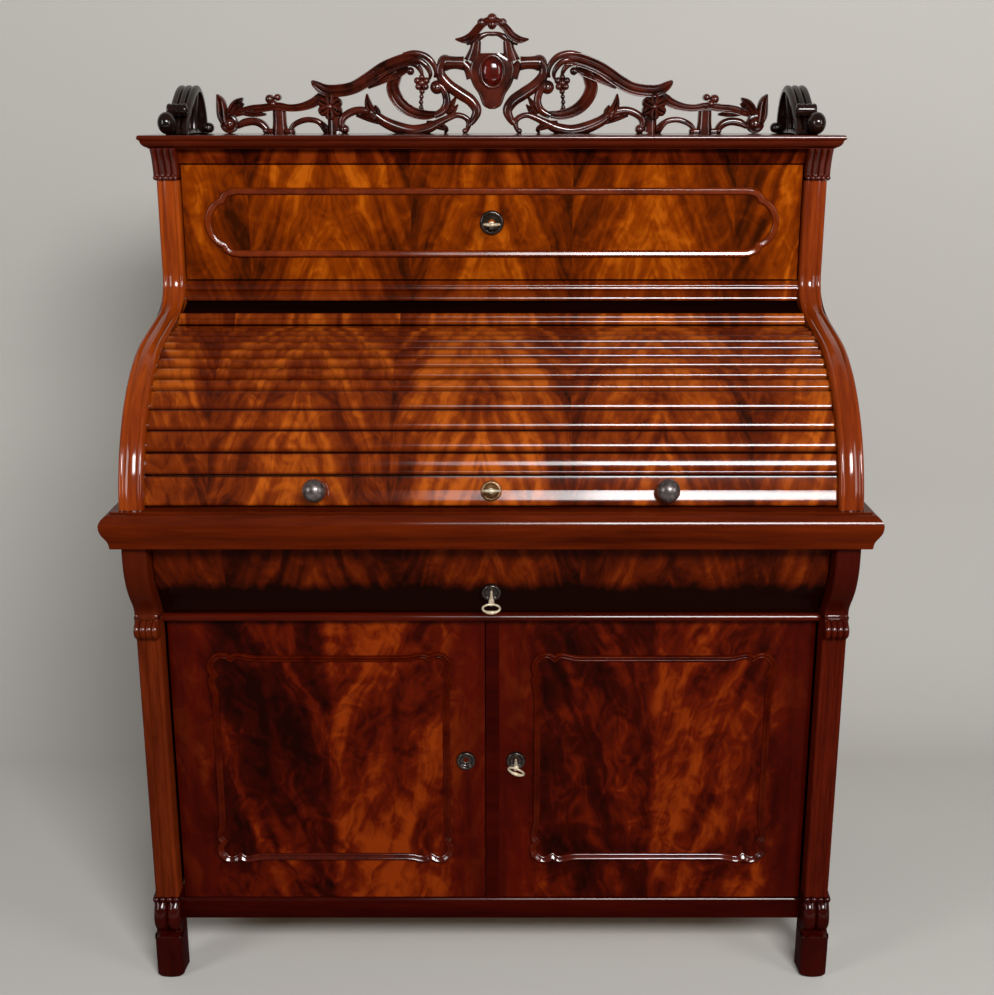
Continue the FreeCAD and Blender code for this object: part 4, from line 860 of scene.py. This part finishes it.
shield = [
    (0, 135, 38), (0, 123, 70), (0, 102, 79), (0, 83, 69), (0, 67, 48), (0, 55, 39), (0, 46, 29), (0, 41, 10)]
shape = Shape()
for flip in (1, -1):
    for carving, face in ((moulded_bars, moulded_face), (round_scrolls, round_face), (leaves, leaf_face)):
        for thick, *marks in carving:
            carved_band(marks, thick, face, shape, flip)
    for x, z, radius in berries:
        turned(berry(radius, 18 + radius / 3), seat(flip * x, crest_back, crest_foot + z), shape, 20)
    turned(berry(6.5, 25), seat(flip * rosette_x, crest_back, crest_foot + rosette_z), shape, 20)
    turned(boss, seat(flip * 465, crest_back, crest_foot + 16), shape, 28)
turned(berry(9, 22), seat(0, crest_back, crest_foot + 192), shape, 24)
turned(berry(8, 21), seat(0, crest_back, crest_foot + 182), shape, 24)
carved_band(shield, 16, lambda s, half: 5 * (1 - sqrt(max(0, 1 - s * s))), shape, 1, 1)
stone_z, stone_x_half, stone_z_half = crest_foot + 104, 16, 22
hoop(stone_x_half + 4.5, stone_z_half + 4.5, lambda bend: 3.6, seat(0, crest_back - 15.5, stone_z), shape,
     40, 10)


def worn_finish(name, dark, light, roughness, metallic, coat=0, coat_roughness=0.2, patches=160, hollow_shade=None):
    """Carved wood, horn or metal in worn patches. Given a colour for what lies deep, painted shade darkens it
    where ambient occlusion finds it closed in.
    """
    material, finish = new_finish(name, roughness, coat, coat_roughness, metallic)
    wear = finish.place().noise(patches, 4, 0.6)
    colour = wear.colours([(0.35, dark), (0.65, light)])
    if hollow_shade:
        # Painted shade in the hollows, found by ambient occlusion.
        clear = finish.node("AmbientOcclusion", {1: 0.01}, 1, samples=6)
        colour = finish.blend(clear.ramp(0.15, 0.75), srgb(*hollow_shade), colour)
    colour.feed("Base Color")
    (wear * 0.2 + (roughness - 0.1)).feed("Roughness")
    return material


# Painted shade darkens the deep parts of the carving.
crest_wood = worn_finish("crest_wood", (32, 9, 5), (78, 26, 13), 0.32, 0, 1, 0.12, 34, hollow_shade=(10, 4, 3))
new_piece("crest", shape, crest_wood, 50, name="crest_carved")
shape = Shape()
turned([(0, 0), (1, 0), (0.98, 2), (0.9, 4.4), (0.75, 6.2), (0.5, 7.5), (0.22, 8.2), (0, 8.4)],
       seat(0, crest_back - 14.5, stone_z) @ Matrix.Diagonal((stone_x_half + 1.5, 1, stone_z_half + 1.5, 1)),
       shape)
red_stone = plain_wood("red_stone", (40, 5, 3), (92, 18, 10), (60, 60, 60), 0.25, 0.9, 0.9)
new_piece("crest", shape, red_stone, 60, name="crest_stone")


# Gallery ends
# Two near-black carved scrolls that run front to back at the ends of the top: a ribbed arch over a
# strut and a foot bar, with a smooth egg and a small roll in front. Each is glued to the top.
gallery_in, gallery_out = 500, 536


def ribbed(marks, thick, ribs, sink, low, high, shape):
    """A bar of the gallery along (y, z) marks, thick in mm, with ribs along its upper face."""
    path = smooth_line(marks, 5)
    backs = []
    for step, (y, z) in enumerate(path):
        out_y, out_z = square_to(path, step)
        backs.append((y - out_y * thick, z - out_z * thick))
    worked_strip(path, backs, lambda share, step: lobes(share, ribs, sink), low, high, shape, 6 * ribs)


arch = [
    (94, 1353), (104, 1368), (126, 1386), (156, 1408), (190, 1426), (224, 1431), (252, 1416), (270, 1388),
    (277, 1352)]
egg = [(18 * sin(radians(a)), -15 * cos(radians(a))) for a in range(0, 181, 10)]
roll = [(0, -17), (6, -17), (9.5, -16), (11, -13), (9.6, -9), (11, -5), (9.6, 0)]
roll += [(radius, -height) for radius, height in reversed(roll[:-1])]
lie = Matrix.Rotation(radians(90), 4, "Z")
shape = Shape()
for flip in (1, -1):
    low, high = sorted((flip * gallery_in, flip * gallery_out))
    ribbed(arch, 11, 3, 5, low, high, shape)
    ribbed([(98, 1359), (180, 1361), (278, 1359)], 7.5, 2, 2, low + 4, high - 4, shape)
    ribbed([(184, 1357), (192, 1385), (212, 1420)], 8, 2, 3, low + 3, high - 3, shape)
    turned(egg, seat(flip * 530, 86, 1369.5) @ lie, shape, 32)
    turned(roll, seat(flip * (gallery_in + gallery_out) / 2, 116, 1390) @ lie, shape, 28)
    turned(berry(9, 18), seat(flip * (gallery_in - 1), 276, 1360.5), shape, 20)
# Painted shade darkens the deep parts of the carving.
dark_wood = worn_finish("dark_wood", (14, 7, 5), (34, 16, 11), 0.32, 0, 0.8, 0.12, 34, hollow_shade=(6, 3, 2))
new_piece("gallery_ends", shape, dark_wood, 50, name="gallery_ends_carved")


# Locks, keys and knobs
# Turned dark knobs pegged into the lock rail, dark turned rings round the keyholes, and worn
# steel keys with an oval bow. The brass locks and bolts sit out of sight in the boards.
lock_brass = worn_finish("lock_brass", (150, 112, 56), (206, 166, 98), 0.34, 1)
key_steel = worn_finish("key_steel", (168, 152, 126), (212, 198, 172), 0.42, 0.35)
turned_horn = worn_finish("turned_horn", (26, 17, 13), (52, 38, 30), 0.34, 0.7, 0.9)
ring_brass = worn_finish("ring_brass", (92, 62, 38), (156, 120, 82), 0.36, 0.8, 0.4)
knob_horn = worn_finish("knob_horn", (70, 62, 60), (108, 98, 96), 0.4, 0.75, 0.7)
paint("door_pivots", worn_finish("pivot_iron", (18, 10, 7), (34, 20, 13), 0.5, 1))
plate_profile = [
    (0, -1), (15.5, -1), (15.6, 0.8), (15.4, 2.6), (14.8, 4.2), (13.8, 5.2), (12.6, 5.5), (11.4, 5.1),
    (10.6, 4.2), (9.8, 3), (8.8, 2.1), (7.6, 1.5), (6.2, 1.1), (5.2, 0.9), (4.6, 0.4), (3.6, -0.4), (0, -0.6)]
key_profile = [
    (0, -22), (2, -22), (2, 6), (2, 12), (2.7, 12.8), (2.7, 17), (3.2, 17.6), (3.2, 19.4), (3.8, 20),
    (3.8, 22.4), (3.4, 23), (4.3, 23.8), (4.3, 25.6), (3.9, 26.4), (4.6, 28.2), (4.2, 30), (2.6, 31), (0, 31.4)]
rail_tilt, drawer_tilt, door_lock_z = -15.204, 20, 376.8
locks = {  # place, reach of the key, roll of its bow, two corners of the case and two of the bolt's way
    "upper_drawer": (seat(0, drawer_face, frame_z), 40, 0, ((-26, 8, -18), (26, 22, 93)),
                     ((-6.4, 12.1, 67), (6.4, 17.9, 100))),
    "base_drawer": (seat(0, -252.05, 680.5, drawer_tilt), 40, 0, ((-26, 33.2, -18), (26, 47, 80)),
                    ((-6.4, 37.1, 55), (6.4, 43, 90))),
    "curtain": (seat(0, -277.512, 847.198, rail_tilt), 30, 0, ((-26, 13, -17), (26, 26.5, 18)),
                ((-6.4, 17.3, -30), (6.4, 23.1, -5))),
    "right_door": (seat(39, door_face, door_lock_z), 40, 20, ((-48, 8, -26), (18, 22, 26)),
                   ((-60, 12.1, -6.4), (-22, 17.9, 6.4))),
}


def lock_case(lock, low, high, place):
    """A brass lock case with softened edges and four screw heads, let into the back of a board."""
    work = bmesh.new()
    bmesh.ops.create_cube(work, size=1)
    for vert in work.verts:
        vert.co = Vector((a + (b - a) * (c + 0.5) for a, b, c in zip(low, high, vert.co)))
    bmesh.ops.bevel(work, geom=list(work.edges), offset=1.2, segments=2, affect="EDGES")
    for x in (low[0] + 7, high[0] - 7):
        for z in (low[2] + 7, high[2] - 7):
            bmesh.ops.create_cone(work, cap_ends=True, segments=16, radius1=3, radius2=2.4, depth=1,
                                  matrix=seat(x, high[1], z, 90))
    bmesh.ops.transform(work, matrix=Matrix.Scale(0.001, 4) @ place, verts=work.verts)
    mesh = bpy.data.meshes.new(lock + "_lock_case")
    work.to_mesh(mesh)
    work.free()
    return add_piece(lock + "_lock", mesh, lock_brass, lock)


def bow_wire(bend):
    """The bow is thicker where it meets the shank."""
    return 1.7 + 1.2 * max(0, -sin(bend)) ** 6


upper_plate = 1.3
for lock, (place, reach, bow_roll, case_box, bolt_way) in locks.items():
    shape = Shape()
    broad = upper_plate if lock == "upper_drawer" else 1
    turned([(radius * broad, height) for radius, height in plate_profile], place, shape)
    ring = ring_brass if lock == "curtain" else turned_horn
    new_piece(lock + "_lock", shape, ring, body=lock, name=lock + "_escutcheon")
    case_place = seat(*place.translation) if lock == "base_drawer" else place
    case = lock_case(lock, *case_box, case_place)
    cut_pocket(case, *bolt_way, case_place, 35)
    shape = Shape()
    turn = place @ Matrix.Rotation(radians(bow_roll), 4, "Y")
    turned([(r, h if h < 8 else h + reach - 40) for r, h in key_profile], turn, shape, 24)
    hoop(13, 9.6, bow_wire, turn @ seat(0, -reach, 0, -90), shape, 48, 12)
    new_piece(lock + "_key", shape, key_steel, body=lock + "_key")
    paint(lock + "_bolt", lock_brass)
shape = Shape()
turned(plate_profile, seat(-41.5, door_face, door_lock_z), shape)
new_piece("left_door_escutcheon", shape, turned_horn, body="left_door")
shape = Shape()
knob_profile = [(0, -4), (5, -4), (5, 0), (8.6, 0.2), (9.2, 1.4), (8.4, 2.6), (7.2, 4), (7.2, 6), (8.6, 8)]
knob_profile += [(17.5 * sin(radians(a)), 18.5 - 15.5 * cos(radians(a)))
                 for a in range(36, 180, 8)] + [(0.4, 34)]
knob_x = 260
for x in (-knob_x, knob_x):
    turned(knob_profile, seat(x, *on_track(curtain_radius, (rail_low + rail_high) / 2), rail_tilt), shape)
new_piece("curtain_knobs", shape, knob_horn, body="curtain")


# Studio
# A pale sweep, clear from behind, with a soft window of three panes in front on the right, a weaker
# one on each side and a dim even sky. The camera stands where the photograph was taken from.
def soft_light(name, place, target, size, power):
    lamp = bpy.data.lights.new(name, "AREA")
    lamp.shape = "RECTANGLE"
    lamp.size, lamp.size_y = size
    lamp.energy = power
    holder = put(name, lamp)
    holder.location = place
    holder.rotation_euler = (Vector(target) - Vector(place)).to_track_quat("-Z", "Y").to_euler()


window_right, window_power = 1.6, 112
for pane, left, share in (("wide", -0.3, 0.14), ("middle", 0.02, 0.32), ("narrow", 0.36, 0.54)):
    across = window_right - left
    middle = window_right - across / 2
    soft_light("window_right_" + pane, (middle, -3.3, 2.75), (middle - 0.5, 0, 0.9), (across, 0.8),
               window_power * share * across)
soft_light("window_left", (-2.7, -2.2, 1.9), (0, 0, 0.9), (1, 1.6), 34)
soft_light("window_far_right", (2.7, -2, 1.9), (0, 0, 0.9), (1, 1.6), 26)

world = bpy.data.worlds.new("even_sky")
world.use_nodes = True
sky = world.node_tree.nodes["Background"].inputs
sky["Color"].default_value = (0.82, 0.82, 0.8, 1)
sky["Strength"].default_value = 0.14
bpy.context.scene.world = world

half_floor, bend_start, bend_radius = 9, 0.55, 0.5
sweep_run = [(-half_floor, 0), (bend_start, 0)]
sweep_run += [(bend_start + bend_radius * sin(radians(a)), bend_radius - bend_radius * cos(radians(a)))
              for a in range(5, 91, 5)] + [(bend_start + bend_radius, 4.5)]
backdrop_mesh = bpy.data.meshes.new("backdrop")
backdrop_mesh.from_pydata([(x, y, z) for y, z in sweep_run for x in (-half_floor, half_floor)], [],
                          [(2 * i, 2 * i + 1, 2 * i + 3, 2 * i + 2) for i in range(len(sweep_run) - 1)])
backdrop_mesh.shade_smooth()
backdrop = put("backdrop", backdrop_mesh)
pale, sheet = new_finish("pale_backdrop", 0.9)
paper = sheet.tree.nodes["Principled BSDF"]
paper.inputs["Base Color"].default_value = srgb(186, 183, 178)
sheet.node("MixShader", {
    0: sheet.node("NewGeometry", output="Backfacing"), 1: Finish(sheet.tree, paper.outputs[0]),
    2: sheet.node("BsdfTransparent")}).feed("Surface", "Material Output")
backdrop_mesh.materials.append(pale)

focal_px, photo_px, look_down = 1380, 994, 15.573
lens = bpy.data.cameras.new("photo_camera")
lens.sensor_width = 36
lens.lens = lens.sensor_width * focal_px / photo_px
camera = put("photo_camera", lens)
camera.location = (0.0086, -2.2482, 1.3863)
camera.rotation_euler = (radians(90 - look_down), 0, 0)
bpy.context.scene.camera = camera
bpy.context.scene.view_settings.view_transform = "Standard"
